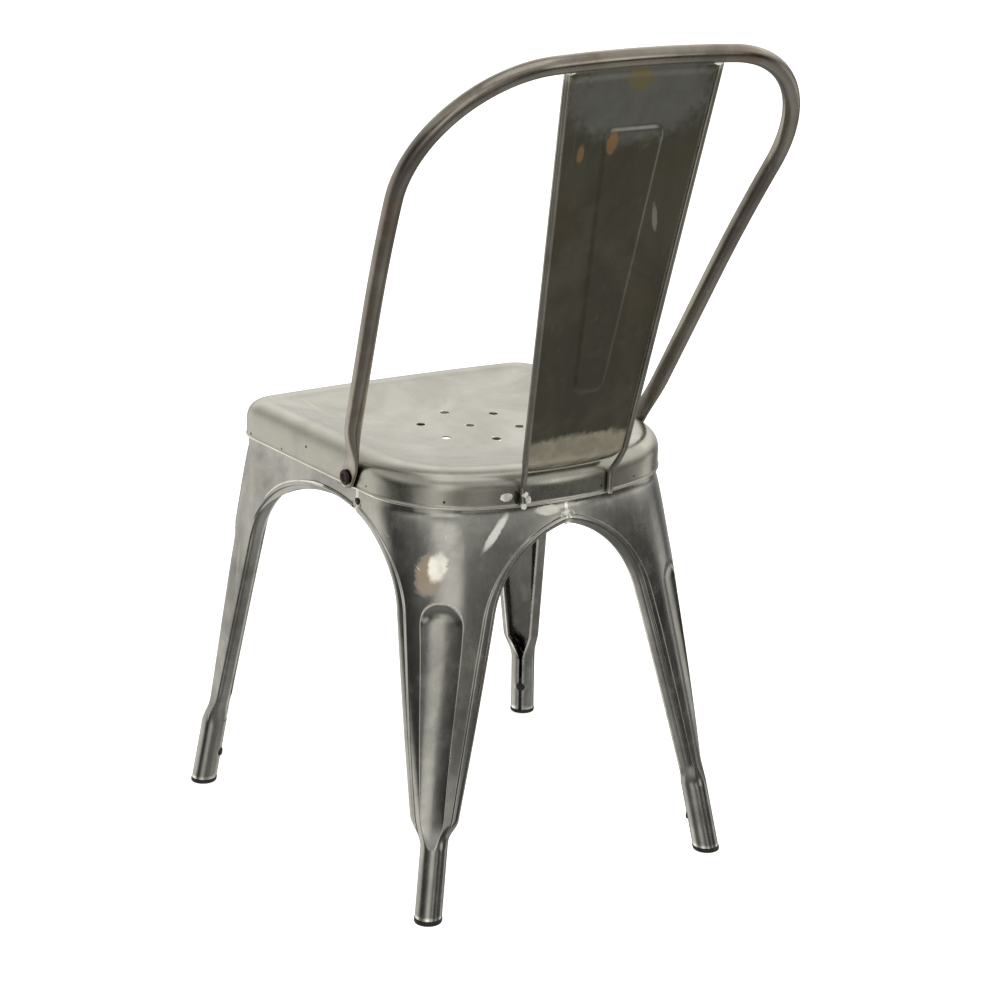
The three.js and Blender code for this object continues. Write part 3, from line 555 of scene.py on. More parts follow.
def channel_point(leg, column, sign, edge, middle_z, flat=False):
    """A column's point on the leg, before the flute is pressed in, and its way from the middle."""
    kind, value, _ = column
    length = abs(edge["offset"])
    flute = min(max(flute_radius(middle_z), 5), length * 0.6)
    scale = min(1, (length - flute) / (2 * STRIP))
    strip = STRIP * scale
    rolled = kind in ("roll", "flange") and not flat
    if kind == "flute":
        offset = flute * value
    elif kind == "wing":
        offset = lerp(flute * WING_FROM, length - strip, value)
    elif kind == "strip":
        offset = length - scale * value
    else:
        offset = length
    q = offset / length
    z = lerp(middle_z, edge["z"], q * q)
    depth = length - offset
    lift = 0
    if not flat:
        lift = BEAD["height"] * (1 - smooth(depth, BEAD["outer"] * scale, BEAD["inner"] * scale))
    p = face_point(leg, sign * offset, z, lift, fluted=False)
    if rolled:
        turn = value * math.pi / 2 if kind == "roll" else math.pi / 2
        past = value * (FLANGE + BEAD["height"]) if kind == "flange" else 0
        p = p + edge["out"] * ROLL_RADIUS * math.sin(turn)
        p = p + edge["inward"] * (ROLL_RADIUS * (1 - math.cos(turn)) + past)
    return p, offset


def pressed(leg, p, offset, sign):
    """The flute pressed into a point of face or tube at a distance from the flute's middle."""
    outline = skin(leg, p[2])
    _, _, nx, ny = outline.at(flute_middle(outline, p[2]) + sign * offset)
    return p - np.array([nx, ny, 0]) * flute_depth(offset, p[2])


def tube_axis(leg, z):
    t = min(z / NECK_Z, 1)
    above = max(z - NECK_Z, 0)
    neck, foot = leg["neck"], leg["foot"]
    x = lerp(foot["x"], neck["x"], t) - neck["drift_x"] * above
    y = lerp(foot["y"], neck["y"], t) - neck["drift_y"] * above
    return np.array([x, y, z])


def tube_point(leg, share, z):
    a = math.radians(FLUTE_ANGLE_NECK + share * (180 - SLIT_HALF_ANGLE))
    return tube_axis(leg, z) + TUBE_RADIUS * np.array([math.cos(a), math.sin(a), 0])


def leg_sheet(leg):
    half = leg_columns()
    columns = [(c, -1) for c in reversed(half[1:])] + [(c, 1) for c in half]
    rows = []
    for z in np.linspace(CAP["height"] + GAP, NECK_Z - 1, TUBE_ROWS):
        rows.append([tube_point(leg, sign * c[2], z) for c, sign in columns])
    for i in range(ARCH_ROWS + 1):
        share = i / ARCH_ROWS
        middle_z = lerp(NECK_Z, APRON_Z, share)
        edges = {-1: edge_frame(leg, side_edge, share, -1), 1: edge_frame(leg, end_edge, share, 1)}
        blend = smooth(middle_z, NECK_Z - 2, CHANNEL_Z)
        row = []
        for c, sign in columns:
            p, offset = channel_point(leg, c, sign, edges[sign], middle_z)
            q = tube_point(leg, sign * c[2], p[2])
            on_tube = TUBE_RADIUS * math.radians(c[2] * (180 - SLIT_HALF_ANGLE))
            row.append(pressed(leg, lerp(q, p, blend), lerp(on_tube, offset, blend), sign))
        rows.append(row)
    arch_end = len(rows) - 1
    for share in np.linspace(0, 1, 9)[1:]:
        row = []
        flat = {}
        for sign, edge in edges.items():
            z = lerp(edge["z"], LEG_TOP_Z, share)
            offset = offset_at_y(leg, leg["joint"], z) if sign < 0 else offset_at_x(leg, GAP / 2, z)
            flat[sign] = dict(offset=offset, z=z)
        middle_z = lerp(APRON_Z, LEG_TOP_Z, share)
        for c, sign in columns:
            row.append(channel_point(leg, c, sign, flat[sign], middle_z, flat=True)[0])
        rows.append(row)
    rolled = sum(c[0] in ("roll", "flange") for c in half)
    last = len(columns) - 1 - rolled
    points, faces = sheet(rows, keep=lambda i, j: i < arch_end or rolled <= j < last)
    # No part of a leg passes its joints with its neighbours.
    points[:, 0] = np.maximum(points[:, 0], GAP / 2)
    points[:, 1] = np.maximum(points[:, 1], leg["joint"])
    return points, faces


def make_legs(materials):
    for end, leg in LEGS.items():
        points, faces = leg_sheet(leg)
        slit = math.radians(FLUTE_ANGLE_NECK + 180)
        axis = np.array([math.cos(slit), math.sin(slit), 0])
        r = NOTCH["radius"]
        notch = turned([(0, 4), (r, 4), (r, 22), (0, 22)], 32, tube_axis(leg, NOTCH["z"]), axis)
        back = 1 if end == "rear" else -1
        for side, x in (("left", 1), ("right", -1)):
            node = f"leg_{end}_{side}"
            skin_points = mirror(points, x, back)
            obj = piece("skin_" + node, skin_points, faces, materials[node], [node], 50)
            cut(obj, [(mirror(notch[0], x, back), notch[1])])


# ---- back ----

def hoop_point(s):
    if s > hoop_arch.length:
        return hoop_point(2 * hoop_arch.length - s) * np.array([-1, 1, 1])
    x, y, _, _ = hoop_arch.at(s)
    p = hoop_plane(x, y)
    beside = skirt_side_x(p[1]) + TAB_GAP + tab_half(s)
    p[0] = lerp(beside, x, smooth(s, TAB["flat_to"], TAB["round_from"]))
    return p


def tab_half(s):
    return lerp(TAB["thick"], HOOP_RADIUS, smooth(s, TAB["flat_to"], TAB["round_from"]))


def tab_width(s):
    past = min(s + TAB["bolt_drop"], 0)
    width = lerp(TAB["half"], HOOP_RADIUS, smooth(s, TAB["flat_to"], TAB["round_from"]))
    return math.sqrt(max(width ** 2 - past ** 2, TAB["tip"] ** 2))


def hoop_stations():
    total = 2 * hoop_arch.length
    half = [-TAB["end"]]
    for until, count in ((TAB["round_from"], 50), (200, 12), (hoop_arch.length, 70)):
        half += list(np.linspace(half[-1], until, count))[1:]
    lean = math.radians(HOOP["lean"])
    plane_normal = np.array([0, math.cos(lean), -math.sin(lean)])
    a = math.radians(SEAT_SPLAY)
    stations = []
    for s in half + [total - s for s in reversed(half[:-1])]:
        tangent = unit(hoop_point(s + 0.5) - hoop_point(s - 0.5))
        from_end = min(s, total - s)
        skirt_normal = np.array([math.copysign(math.cos(a), hoop_arch.length - s), math.sin(a), 0])
        across = unit(np.cross(skirt_normal, tangent))
        if across[1] < 0:
            across = -across
        side = lerp(across, plane_normal, smooth(from_end, 10, 60))
        side = unit(side - tangent * (side @ tangent))
        out = np.cross(side, tangent)
        stations.append((hoop_point(s), side, out, tab_half(from_end), tab_width(from_end)))
    return stations


def make_hoop(material):
    points, faces = swept(hoop_stations(), 40, HOOP_WALL)
    hoop = piece("hoop", points, faces, material, ["back_hoop"], 60)
    p, axis = bolt_place()
    r = BOLT["drill"]
    drill = turned([(0, -10), (r, -10), (r, 20), (0, 20)], 32, p, axis)
    cut(hoop, [drill, (mirror(drill[0], -1), drill[1])])
    return hoop


def hoop_over(x):
    s = solve(lambda v: -hoop_arch.at(v)[0], -x, hoop_arch.length_at_angle(60), hoop_arch.length)
    return hoop_plane(x, hoop_arch.at(s)[1])


def splat_line(share, rise):
    low = np.array([share * SPLAT["half_low"], SPLAT["y"], SPLAT["z"]])
    over = hoop_over(abs(share) * SPLAT["half_top"])
    over[0] = share * SPLAT["half_top"]
    distance = np.linalg.norm(over - low)
    return lerp(low, over, rise * (distance - HOOP_RADIUS - GAP - 0.3) / distance)


def bezier(a, b, c, t):
    return lerp(lerp(a, b, t), lerp(b, c, t), t)


def skirt_rear(x):
    s = solve(lambda v: -seat_rear.at(v)[0], -x, seat_rear.length_at_angle(40), seat_rear.length)
    y = seat_rear.at(s)[1]
    return y, skirt_low(y)


def emboss_lift(x, z):
    """How far the pressed panel, a trapezoid with round corners, stands out of the splat."""
    e = EMBOSS
    half = lerp(e["half_low"], e["half_top"], (z - e["low_z"]) / (e["top_z"] - e["low_z"]))
    middle = (e["top_z"] + e["low_z"]) / 2
    reach = (e["top_z"] - e["low_z"]) / 2
    r = e["corner"]
    dx, dz = abs(x) - half + r, abs(z - middle) - reach + r
    outside = math.hypot(max(dx, 0), max(dz, 0)) + min(max(dx, dz), 0) - r
    return e["depth"] * smooth(-outside, 0, e["edge"])


def splat_point(across, rise):
    """A point of the splat's back face; below its foot, at a rise under 0, it bends over the rim."""
    if rise >= 0:
        edge = splat_line(1, rise)[0]
        p = splat_line(across * (1 - (ROD_RADIUS + GAP) / edge), rise)
        from_top = (1 - rise) * SPLAT["length"]
        lip = SPLAT["lip"] * (1 - smooth(from_top, 6, 9))
        return p + np.array([0, emboss_lift(p[0], p[2]) + lip, 0])
    top = splat_point(across, 0)
    x = across * (ROD_FOOT_X - ROD_RADIUS - GAP * 3)
    rim_y, rim_z = skirt_rear(abs(x))
    contact = RIM_RADIUS + SHEET + GAP * 1.5
    a = math.radians(50)
    end = np.array([x, rim_y - RIM_RADIUS + contact * math.cos(a),
                    rim_z + SKIRT_RISE - RIM_RADIUS + contact * math.sin(a)])
    knee = top + np.array([0, KNEE["back"], KNEE["drop"]])
    knee[0] = lerp(top[0], end[0], 0.4)
    return bezier(top, knee, end, -rise)


def make_splat(material):
    fine = list(np.linspace(-1, 0, 12)) + list(np.linspace(0, 1, 200))[1:]
    rows = [[splat_point(a, rise) for a in np.linspace(1, -1, 90)] for rise in fine]
    points, faces = sheet(rows)
    return piece("splat", points, faces, material, ["back_splat"], 60)


def rod_path():
    rim_y, rim_z = skirt_rear(ROD_FOOT_X)
    face = rim_y + ROD_RADIUS + GAP
    foot = np.array([ROD_FOOT_X, face, rim_z + 0.5])
    shoulder = np.array([ROD_FOOT_X + 1, face, rim_z + SKIRT_RISE - RIM_RADIUS + 4])
    bend = splat_line(1, 0)
    knee = bend + np.array([0, KNEE["back"], KNEE["drop"]])
    knee[0] = lerp(shoulder[0], bend[0], 0.6)
    points = [lerp(foot, shoulder, t) for t in np.linspace(0, 1, 9)[:-1]]
    points += [bezier(shoulder, knee, bend, t) for t in np.linspace(0, 1, 14)]
    points += [splat_line(1, rise) for rise in np.linspace(0, 1, 60)[1:]]
    return points


def make_rods(material):
    path = rod_path()
    stations = []
    for i, p in enumerate(path):
        tangent = unit(path[min(i + 1, len(path) - 1)] - path[max(i - 1, 0)])
        side = unit(np.array([1, 0, 0]) - tangent * tangent[0])
        radius = ROD_RADIUS + 0.08 * noise.noise(Vector(p) * 0.12)
        stations.append((p, side, np.cross(side, tangent), radius, radius))
    points, faces = swept(stations, 20)
    for side, x in (("left", 1), ("right", -1)):
        node = f"splat_rod_{side}"
        piece("edge_" + node, mirror(points, x), faces, material, [node], 60)


# ---- small pieces ----

def make_bolts(material):
    p, axis = bolt_place()
    face = TAB_GAP + 2 * TAB["thick"] + GAP
    shank, head, tail = BOLT["shank"], BOLT["head"], -BOLT["tail"]
    crown = [(BOLT["edge"], 0), (head, 0.4), (head, 1.1), (7.5, 1.8), (6.6, 2.5), (5.4, 2.9)]
    socket = [(4.2, 2.6), (3.4, 1.2), (0, 0.9)]
    profile = [(0, tail), (shank, tail), (shank, face)]
    profile += [(radius, face + up) for radius, up in crown + socket]
    points, faces = turned(profile, 40, p, axis)
    for side, x in (("left", 1), ("right", -1)):
        piece(f"bolt_{side}", mirror(points, x), faces, material, [f"hoop_bolt_{side}"])


def make_caps(material):
    for end, leg in LEGS.items():
        neck, foot = leg["neck"], leg["foot"]
        shear = ((neck["x"] - foot["x"]) / NECK_Z, (neck["y"] - foot["y"]) / NECK_Z)
        r, h = CAP["radius"], CAP["height"]
        plug, top = CAP["plug"], CAP["plug_top"]
        profile = [(0, 0), (r - 1.2, 0), (r - 0.5, 0.3), (r - 0.1, 0.9), (r, 1.6), (r, h - 0.6)]
        profile += [(r - 0.3, h - 0.15), (r - 0.9, h)]
        profile += [(plug, h), (plug, top - 1), (plug - 1, top), (0, top)]
        body = turned(profile, 48, (foot["x"], foot["y"], 0), (0, 0, 1), shear)
        slit = math.radians(FLUTE_ANGLE_NECK + 180)
        s, t = NOTCH["radius"] - 0.5, TUBE_RADIUS
        button = [(0, 4), (s, 4), (s, t + 0.2), (s - 0.6, t + 0.9), (0, t + 1)]
        stud = turned(button, 28, tube_axis(leg, NOTCH["z"]), (math.cos(slit), math.sin(slit), 0))
        count = len(body[0])
        points = list(body[0]) + list(stud[0])
        faces = list(body[1]) + [tuple(i + count for i in f) for f in stud[1]]
        back = 1 if end == "rear" else -1
        for side, x in (("left", 1), ("right", -1)):
            node = f"foot_cap_{end}_{side}"
            piece("rubber_" + node, mirror(points, x, back), faces, material, [node])


def blob(name, at, normal, size, material, seed):
    """A lump of weld metal: a low dome with an uneven outline, seated on a face."""
    normal = Vector(normal).normalized()
    turn = Vector((0, 0, 1)).rotation_difference(normal).to_matrix()
    rings, sides = 9, 28
    points, faces = [], []
    for i in range(rings):
        t = i / (rings - 1)
        for k in range(sides):
            a = 2 * math.pi * k / sides
            x, y = math.cos(a), math.sin(a)
            direction = Vector((x, y, seed * 3.1))
            uneven = t * (1 + 0.28 * noise.noise(direction * 1.3) + 0.1 * noise.noise(direction * 4))
            height = size[2] * math.sqrt(max(1 - t * t, 0)) - 0.5
            height *= 1 + 0.25 * noise.noise(Vector((t * 2 * x, t * 2 * y, seed)))
            local = Vector((size[0] * uneven * x, size[1] * uneven * y, height))
            points.append(np.array(at) + np.array(turn @ local))
    for i in range(rings - 1):
        for k in range(sides):
            n = (k + 1) % sides
            faces.append((i * sides + k, (i + 1) * sides + k, (i + 1) * sides + n, i * sides + n))
    faces.append(tuple((rings - 1) * sides + k for k in reversed(range(sides))))
    return piece(name, points, faces, material, sharp=60)


def skirt_spot(half, share, up, side):
    """A place on the skirt: a share of the half outline's length and a height above its edge."""
    x, y, nx, ny = half.at(share * half.length)
    sign = 1 if half is seat_rear else -1
    y, ny = sign * y, sign * ny
    return np.array([side * x, y, skirt_low(y) + up]), np.array([side * nx, ny, 0])


# Outline, share of its half length, height above the skirt's edge, and side.
SPOT_WELDS = [
    (seat_front, 0.42, 5, 1),
    (seat_front, 0.25, 5, 1),
    (seat_front, 0.12, 19, 1),
    (seat_front, 0.8, 6, 1),
    (seat_rear, 0.23, 8, 1),
    (seat_rear, 0.55, 8, 1),
    (seat_rear, 0.85, 9, -1),
    (seat_rear, 0.68, 8, -1),
    (seat_front, 0.4, 6, -1),
    (seat_front, 0.22, 6, -1),
    (seat_front, 0.78, 6, -1),
    (seat_rear, 0.25, 7, -1),
]


def make_welds(bright, burnt):
    """Spot weld burns round the skirt and the welds of rods, splat and leg joints."""
    def add_bright(name, at, normal, size, seed):
        blob(name, at, normal, size, bright, seed)

    def add_burnt(name, at, normal, size, seed):
        blob(name, at, normal, size, burnt, seed)

    for i, spot in enumerate(SPOT_WELDS):
        at, normal = skirt_spot(*spot)
        size = 1.7 + 0.5 * noise.noise(Vector((i, 0.3, 0.7)))
        add_burnt(f"spot_weld_{i}", at, normal, (size, size, 0.75), i)
    at, normal = skirt_spot(seat_rear, 0.765, 11, 1)
    add_bright("seam_weld_flat", at, normal, (6.8, 5.4, 0.85), 20)
    rim_y, rim_z = skirt_rear(ROD_FOOT_X)
    for i, (dx, up, size) in enumerate([(-0.5, 14, 3.4), (-4, 8, 4.0), (0.5, 2.5, 3.6)]):
        at = (ROD_FOOT_X + dx, rim_y + 2 * ROD_RADIUS - 0.6, rim_z + up)
        add_bright(f"rod_weld_{i}", at, (0.1, 1, 0), (size, size, 2.6), 23 + i)
    add_burnt("rod_weld_burnt", (-ROD_FOOT_X - 3.5, rim_y + 0.4, rim_z + 5), (0, 1, 0.1), (3, 6, 1.6), 31)
    add_burnt("rod_weld_edge", (ROD_FOOT_X + 5, rim_y - 0.3, rim_z + 10), (0.1, 1, 0), (2.4, 7, 1.0), 32)
    leg, z = LEGS["rear"], JOINT_WELD_Z["rear"]
    joint = face_point(leg, offset_at_x(leg, 1, z), z)
    add_bright("joint_weld_rear", joint + np.array([1, 0.2, 0]), (0, 1, 0.1), (6, 4.5, 1.6), 40)
    add_bright("joint_weld_low", joint + np.array([-1, -0.4, -7]), (0, 0.9, -0.3), (3.2, 5.0, 2.4), 43)
    z = JOINT_WELD_Z["side"]
    side_joint = face_point(leg, offset_at_y(leg, SIDE_JOINT_Y + 1, z), z)
    for x in (1, -1):
        at = side_joint * np.array([x, 1, 1])
        add_burnt(f"joint_weld_side_{x + 1}", at, (x, 0, 0), (4.5, 5, 1.3), 50 + x)
        at = splat_line(x, 1) + np.array([-x * 3, 1.4, 1.5])
        add_bright(f"splat_weld_{x + 1}", at, (0, 0.8, 0.4), (6, 3, 2.4), 60 + x)


# ---- materials ----

class Nodes:
    """Short hand for adding nodes to a tree, with the coordinates that its textures use."""

    def __init__(self, tree, coords):
        self.tree = tree
        self.coords = self.add("ShaderNodeTexCoord").outputs[coords]

    def add(self, kind, **settings):
        node = self.tree.nodes.new(kind)
        for key, value in settings.items():
            setattr(node, key, value)
        return node

    def link(self, source, target):
        self.tree.links.new(source, target)

    def feed(self, socket, value):
        if isinstance(value, bpy.types.NodeSocket):
            self.link(value, socket)
        else:
            socket.default_value = value

    def mapped(self, scale, turn=(0, 0, 0)):
        node = self.add("ShaderNodeMapping")
        node.inputs["Scale"].default_value = scale
        node.inputs["Rotation"].default_value = turn
        self.link(self.coords, node.inputs["Vector"])
        return node.outputs["Vector"]

    def noise(self, scale, detail, rough, vector=None, distortion=0):
        node = self.add("ShaderNodeTexNoise")
        self.link(vector or self.coords, node.inputs["Vector"])
        node.inputs["Scale"].default_value = scale
        node.inputs["Detail"].default_value = detail
        node.inputs["Roughness"].default_value = rough
        node.inputs["Distortion"].default_value = distortion
        return node.outputs["Fac"]

    def range(self, value, low, high, to_low=0.0, to_high=1.0):
        node = self.add("ShaderNodeMapRange", interpolation_type="SMOOTHSTEP")
        self.link(value, node.inputs["Value"])
        ends = {"From Min": low, "From Max": high, "To Min": to_low, "To Max": to_high}
        for name, number in ends.items():
            node.inputs[name].default_value = number
        return node.outputs["Result"]

    def math(self, operation, a, b):
        node = self.add("ShaderNodeMath", operation=operation)
        self.feed(node.inputs[0], a)
        self.feed(node.inputs[1], b)
        return node.outputs[0]

    def times(self, a, b):
        return self.math("MULTIPLY", a, b)

    def mix(self, factor, a, b, blend="MIX"):
        node = self.add("ShaderNodeMix", data_type="RGBA", blend_type=blend)
        self.feed(node.inputs["Factor"], factor)
        self.feed(node.inputs["A"], a)
        self.feed(node.inputs["B"], b)
        return node.outputs["Result"]

    def bump(self, height, strength, distance, under=None):
        node = self.add("ShaderNodeBump")
        node.inputs["Strength"].default_value = strength
        node.inputs["Distance"].default_value = distance
        self.link(height, node.inputs["Height"])
        if under:
            self.link(under, node.inputs["Normal"])
        return node.outputs["Normal"]

    def patch(self, at, radius, stretch, turn):
        """A mask round a place in the row frame, 1 inside, with a ragged outline."""
        node = self.add("ShaderNodeMapping", vector_type="TEXTURE")
        node.inputs["Location"].default_value = at
        node.inputs["Rotation"].default_value = turn
        node.inputs["Scale"].default_value = [radius * s for s in stretch]
        self.link(self.coords, node.inputs["Vector"])
        length = self.add("ShaderNodeVectorMath", operation="LENGTH")
        self.link(node.outputs["Vector"], length.inputs[0])
        ragged = 0.7
        wobble = self.times(self.noise(90, 4, 0.6, distortion=1.0), ragged)
        reach = self.math("ADD", length.outputs["Value"], wobble)
        return self.range(reach, 0.7 + ragged / 2, 1.1 + ragged / 2, 1.0, 0.0)


def new_material(name):
    """A material, its nodes and the inputs of its shader."""
    material = bpy.data.materials.new(name)
    material.use_nodes = True
    n = Nodes(material.node_tree, "Object")
    return material, n, n.tree.nodes["Principled BSDF"].inputs


def shade(tone, factor=1, most=1):
    """A colour made lighter or darker, as a node takes it."""
    return (*[min(c * factor, most) for c in tone], 1)


def mark(at, radius, stretch, tone, dulls, turn=(0, 0, 0)):
    """A place of wear, stain or painted highlight on a steel: where, how large, its colour and how far it
    dulls.
    """
    return dict(at=place([at])[0], radius=radius, stretch=stretch, turn=turn, tone=tone, dulls=dulls)


def stroke(start, end, radius, stretch, tone, dulls):
    """A mark along the rear leg's face, between two places given as offset and height."""
    a, b = (face_point(LEGS["rear"], *at) for at in (start, end))
    turn = Vector(b - a).to_track_quat("Z", "Y").to_euler()
    return mark((a + b) / 2, radius, stretch, tone, dulls, turn)


def steel(name, base, dark, warm, warm_amount, roughness, brush, marks=()):
    """Bare sheet steel: mill scale blotches, drawn brush lines, fine scratches, any marks of wear or
    stain given, a painted highlight along convex edges and painted shade in creases.
    """
    material, n, shader = new_material(name)
    cloud = n.noise(9, 5, 0.6, distortion=0.6)
    mottle = n.noise(55, 4, 0.6)
    stain = n.range(n.noise(14, 3, 0.5, distortion=1.2), 0.55, 0.75)
    lines = n.noise(1.0, 6, 0.75, n.mapped(brush))
    streaks = n.noise(1.0, 3, 0.6, n.mapped([s * 0.12 for s in brush]))
    hair = n.noise(1.0, 2, 0.5, n.mapped([s * 0.55 for s in brush], turn=(0.5, 0.35, 0.9)))
    edge = n.add("ShaderNodeNewGeometry").outputs["Pointiness"]
    # Painted highlight: convex edges and rolled beads, found by pointiness, lightened in patches.
    edge_highlight = n.times(n.range(edge, 0.515, 0.56), n.range(mottle, 0.3, 0.55, 0.5, 1.0))
    # Painted shade: creases and hollows, found by pointiness, darkened.
    crease_shade = n.times(n.range(edge, 0.42, 0.475, 1.0, 0.0), n.range(cloud, 0.3, 0.6, 0.4, 0.8))
    layers = [
        (n.range(cloud, 0.35, 0.68), shade(dark)),
        (n.times(n.range(mottle, 0.5, 0.72), 0.35), shade(base, 1.25)),
        (n.times(stain, warm_amount), shade(warm)),
        (n.times(n.range(streaks, 0.3, 0.75), 0.35), shade(dark, 0.72)),
        (n.times(lines, 0.22), shade(base, 1.5)),
        (n.times(n.range(hair, 0.70, 0.74), 0.16), shade(base, 1.9)),
        (edge_highlight, shade(base, 2.2, 0.95)),
        (crease_shade, shade(dark, 0.22)),
    ]
    colour = shade(base)
    for mask, tone in layers:
        colour = n.mix(mask, colour, tone)
    clouded = n.range(cloud, 0.3, 0.7, roughness - 0.1, roughness + 0.06)
    rough = n.math("ADD", n.times(lines, 0.16), clouded)
    rough = n.math("ADD", rough, n.times(n.range(mottle, 0.45, 0.75), 0.06))
    metal = 1.0
    for m in marks:
        mask = n.patch(m["at"], m["radius"], m["stretch"], m["turn"])
        uneven = n.times(mask, n.range(n.noise(60, 4, 0.6), 0.3, 0.6, 0.7, 1.0))
        colour = n.mix(uneven, colour, shade(m["tone"]))
        rough = n.math("ADD", rough, n.times(mask, m["dulls"]))
        metal = n.math("SUBTRACT", metal, n.times(mask, min(m["dulls"] * 2.4, 0.8)))
    n.link(colour, shader["Base Color"])
    n.link(rough, shader["Roughness"])
    n.feed(shader["Metallic"], metal)
    shader["Coat Weight"].default_value = 0.25
    shader["Coat Roughness"].default_value = 0.12
    fine = n.bump(lines, 0.12, 0.0004)
    n.link(n.bump(n.noise(16, 3, 0.45), 0.28, 0.0022, fine), shader["Normal"])
    return material


def weld_metal(name, base, roughness, metallic=0.9):
    material, n, shader = new_material(name)
    ripple = n.noise(420, 4, 0.6)
    stain = n.range(n.noise(130, 4, 0.6), 0.35, 0.7)
    n.link(n.mix(stain, shade(base), shade(base, 0.5)), shader["Base Color"])
    n.link(n.range(ripple, 0.3, 0.7, roughness - 0.12, roughness + 0.15), shader["Roughness"])
    shader["Metallic"].default_value = metallic
    n.link(n.bump(ripple, 0.5, 0.0006), shader["Normal"])
    return material


def rubber(name):
    material, n, shader = new_material(name)
    speck = n.noise(900, 3, 0.6)
    dust = n.range(n.noise(60, 4, 0.6), 0.5, 0.8)
    n.link(n.mix(dust, shade((0.008, 0.008, 0.009)), shade((0.035, 0.033, 0.03))), shader["Base Color"])
    n.link(n.range(speck, 0.3, 0.7, 0.5, 0.72), shader["Roughness"])
    n.link(n.bump(speck, 0.3, 0.0003), shader["Normal"])
    return material


seat_steel = steel(
    "seat_steel", base=(0.41, 0.40, 0.355), dark=(0.33, 0.32, 0.28), warm=(0.34, 0.28, 0.20),
    warm_amount=0.3, roughness=0.23, brush=(160, 18, 60))
hoop_steel = steel(
    "hoop_steel", base=(0.31, 0.28, 0.24), dark=(0.15, 0.13, 0.11), warm=(0.18, 0.12, 0.08),
    warm_amount=0.5, roughness=0.20, brush=(120, 120, 30))
rod_steel = steel(
    "rod_steel", base=(0.32, 0.31, 0.27), dark=(0.16, 0.15, 0.13), warm=(0.22, 0.18, 0.12),
    warm_amount=0.3, roughness=0.25, brush=(200, 200, 40))
zinc = steel(
    "zinc", base=(0.45, 0.45, 0.44), dark=(0.36, 0.36, 0.35), warm=(0.42, 0.38, 0.3),
    warm_amount=0.2, roughness=0.35, brush=(90, 90, 90))
# The splat: a paler top, a painted highlight as a pale band at its foot where it bends over the rim, rust
# and heat tints, and one light scratch.
back_steel = steel(
    "back_steel", base=(0.145, 0.137, 0.102), dark=(0.088, 0.084, 0.06), warm=(0.17, 0.12, 0.06),
    warm_amount=0.6, roughness=0.27, brush=(240, 240, 9), marks=[
        mark(splat_line(0, 0.93), 0.040, (2.2, 2, 1.2), (0.22, 0.22, 0.20), 0.02),
        # Painted highlight: a pale band across the splat's foot, where the bent sheet catches the light.
        mark((0, SPLAT["y"], SPLAT["z"] + 4), 0.018, (6, 1.2, 1.1), (0.50, 0.45, 0.35), 0.03),
        mark(splat_line(0.30, 0.82), 0.008, (0.8, 1.5, 1.6), (0.30, 0.16, 0.06), 0.08),
        mark(splat_line(0.70, 0.80), 0.006, (0.7, 1.5, 1.5), (0.28, 0.17, 0.07), 0.08),
        mark(splat_line(0.05, 0.97), 0.012, (1.3, 1.5, 0.9), (0.20, 0.17, 0.07), 0.05),
        mark(splat_line(-0.55, 0.62), 0.004, (0.8, 2, 4.5), (0.34, 0.33, 0.28), 0.02, (0, 0.25, 0)),
    ])
leg_look = dict(
    base=(0.40, 0.395, 0.365), dark=(0.17, 0.165, 0.15), warm=(0.29, 0.22, 0.15),
    warm_amount=0.35, roughness=0.17, brush=(210, 210, 11))
plain_leg = steel("leg_steel", **leg_look)
# The rear left leg: two ground patches on its apron, a streak, a scratch and a pale joint.
rear = LEGS["rear"]
marked_leg = steel("leg_steel_ground", **leg_look, marks=[
    mark(face_point(rear, -14, 334), 0.013, (1, 1, 1.7), (0.36, 0.29, 0.21), 0.25),
    mark(face_point(rear, -3, 344), 0.010, (1, 1, 1.5), (0.86, 0.83, 0.74), 0.25, (0, -0.4, 0)),
    stroke((70, 391), (42, 358), 0.0038, (1.2, 1.2, 6.5), (0.78, 0.77, 0.72), 0.2),
    stroke((-60, 367), (-22, 340), 0.0011, (1, 1, 26), (0.75, 0.73, 0.66), 0.15),
    mark(face_point(rear, 112, 390), 0.006, (2.4, 2, 0.9), (0.74, 0.71, 0.64), 0.25),
])
bright_weld = weld_metal("weld_bright", (0.80, 0.78, 0.72), 0.42, 0.3)
burnt_weld = weld_metal("weld_burnt", (0.05, 0.045, 0.04), 0.5)
black_bolt = weld_metal("bolt_black", (0.06, 0.05, 0.045), 0.42)
black_rubber = rubber("cap_rubber")

# ---- build ----

leg_steels = {f"leg_{end}_{side}": plain_leg for end in LEGS for side in ("left", "right")}
leg_steels["leg_rear_left"] = marked_leg
make_seat(seat_steel)
make_legs(leg_steels)
make_hoop(hoop_steel)
make_splat(back_steel)
make_rods(rod_steel)
make_bolts(black_bolt)
make_caps(black_rubber)
make_welds(bright_weld, burnt_weld)

# The hidden washers, nuts and brace keep their CAD shapes and only get a material.
for name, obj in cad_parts.items():
    if name.startswith(("hoop_washer", "hoop_nut", "brace_")):
        obj.data.materials.clear()
        obj.data.materials.append(zinc if name.startswith("hoop") else plain_leg)


# ---- stage, light and camera ----

# Grey of the studio at a share of the way from straight down (0) over the horizon (0.5) to up (1).
SKY = [(0.0, 0.34), (0.2, 0.24), (0.35, 0.07), (0.46, 0.05), (0.56, 0.24), (0.68, 0.70), (1.0, 0.43)]

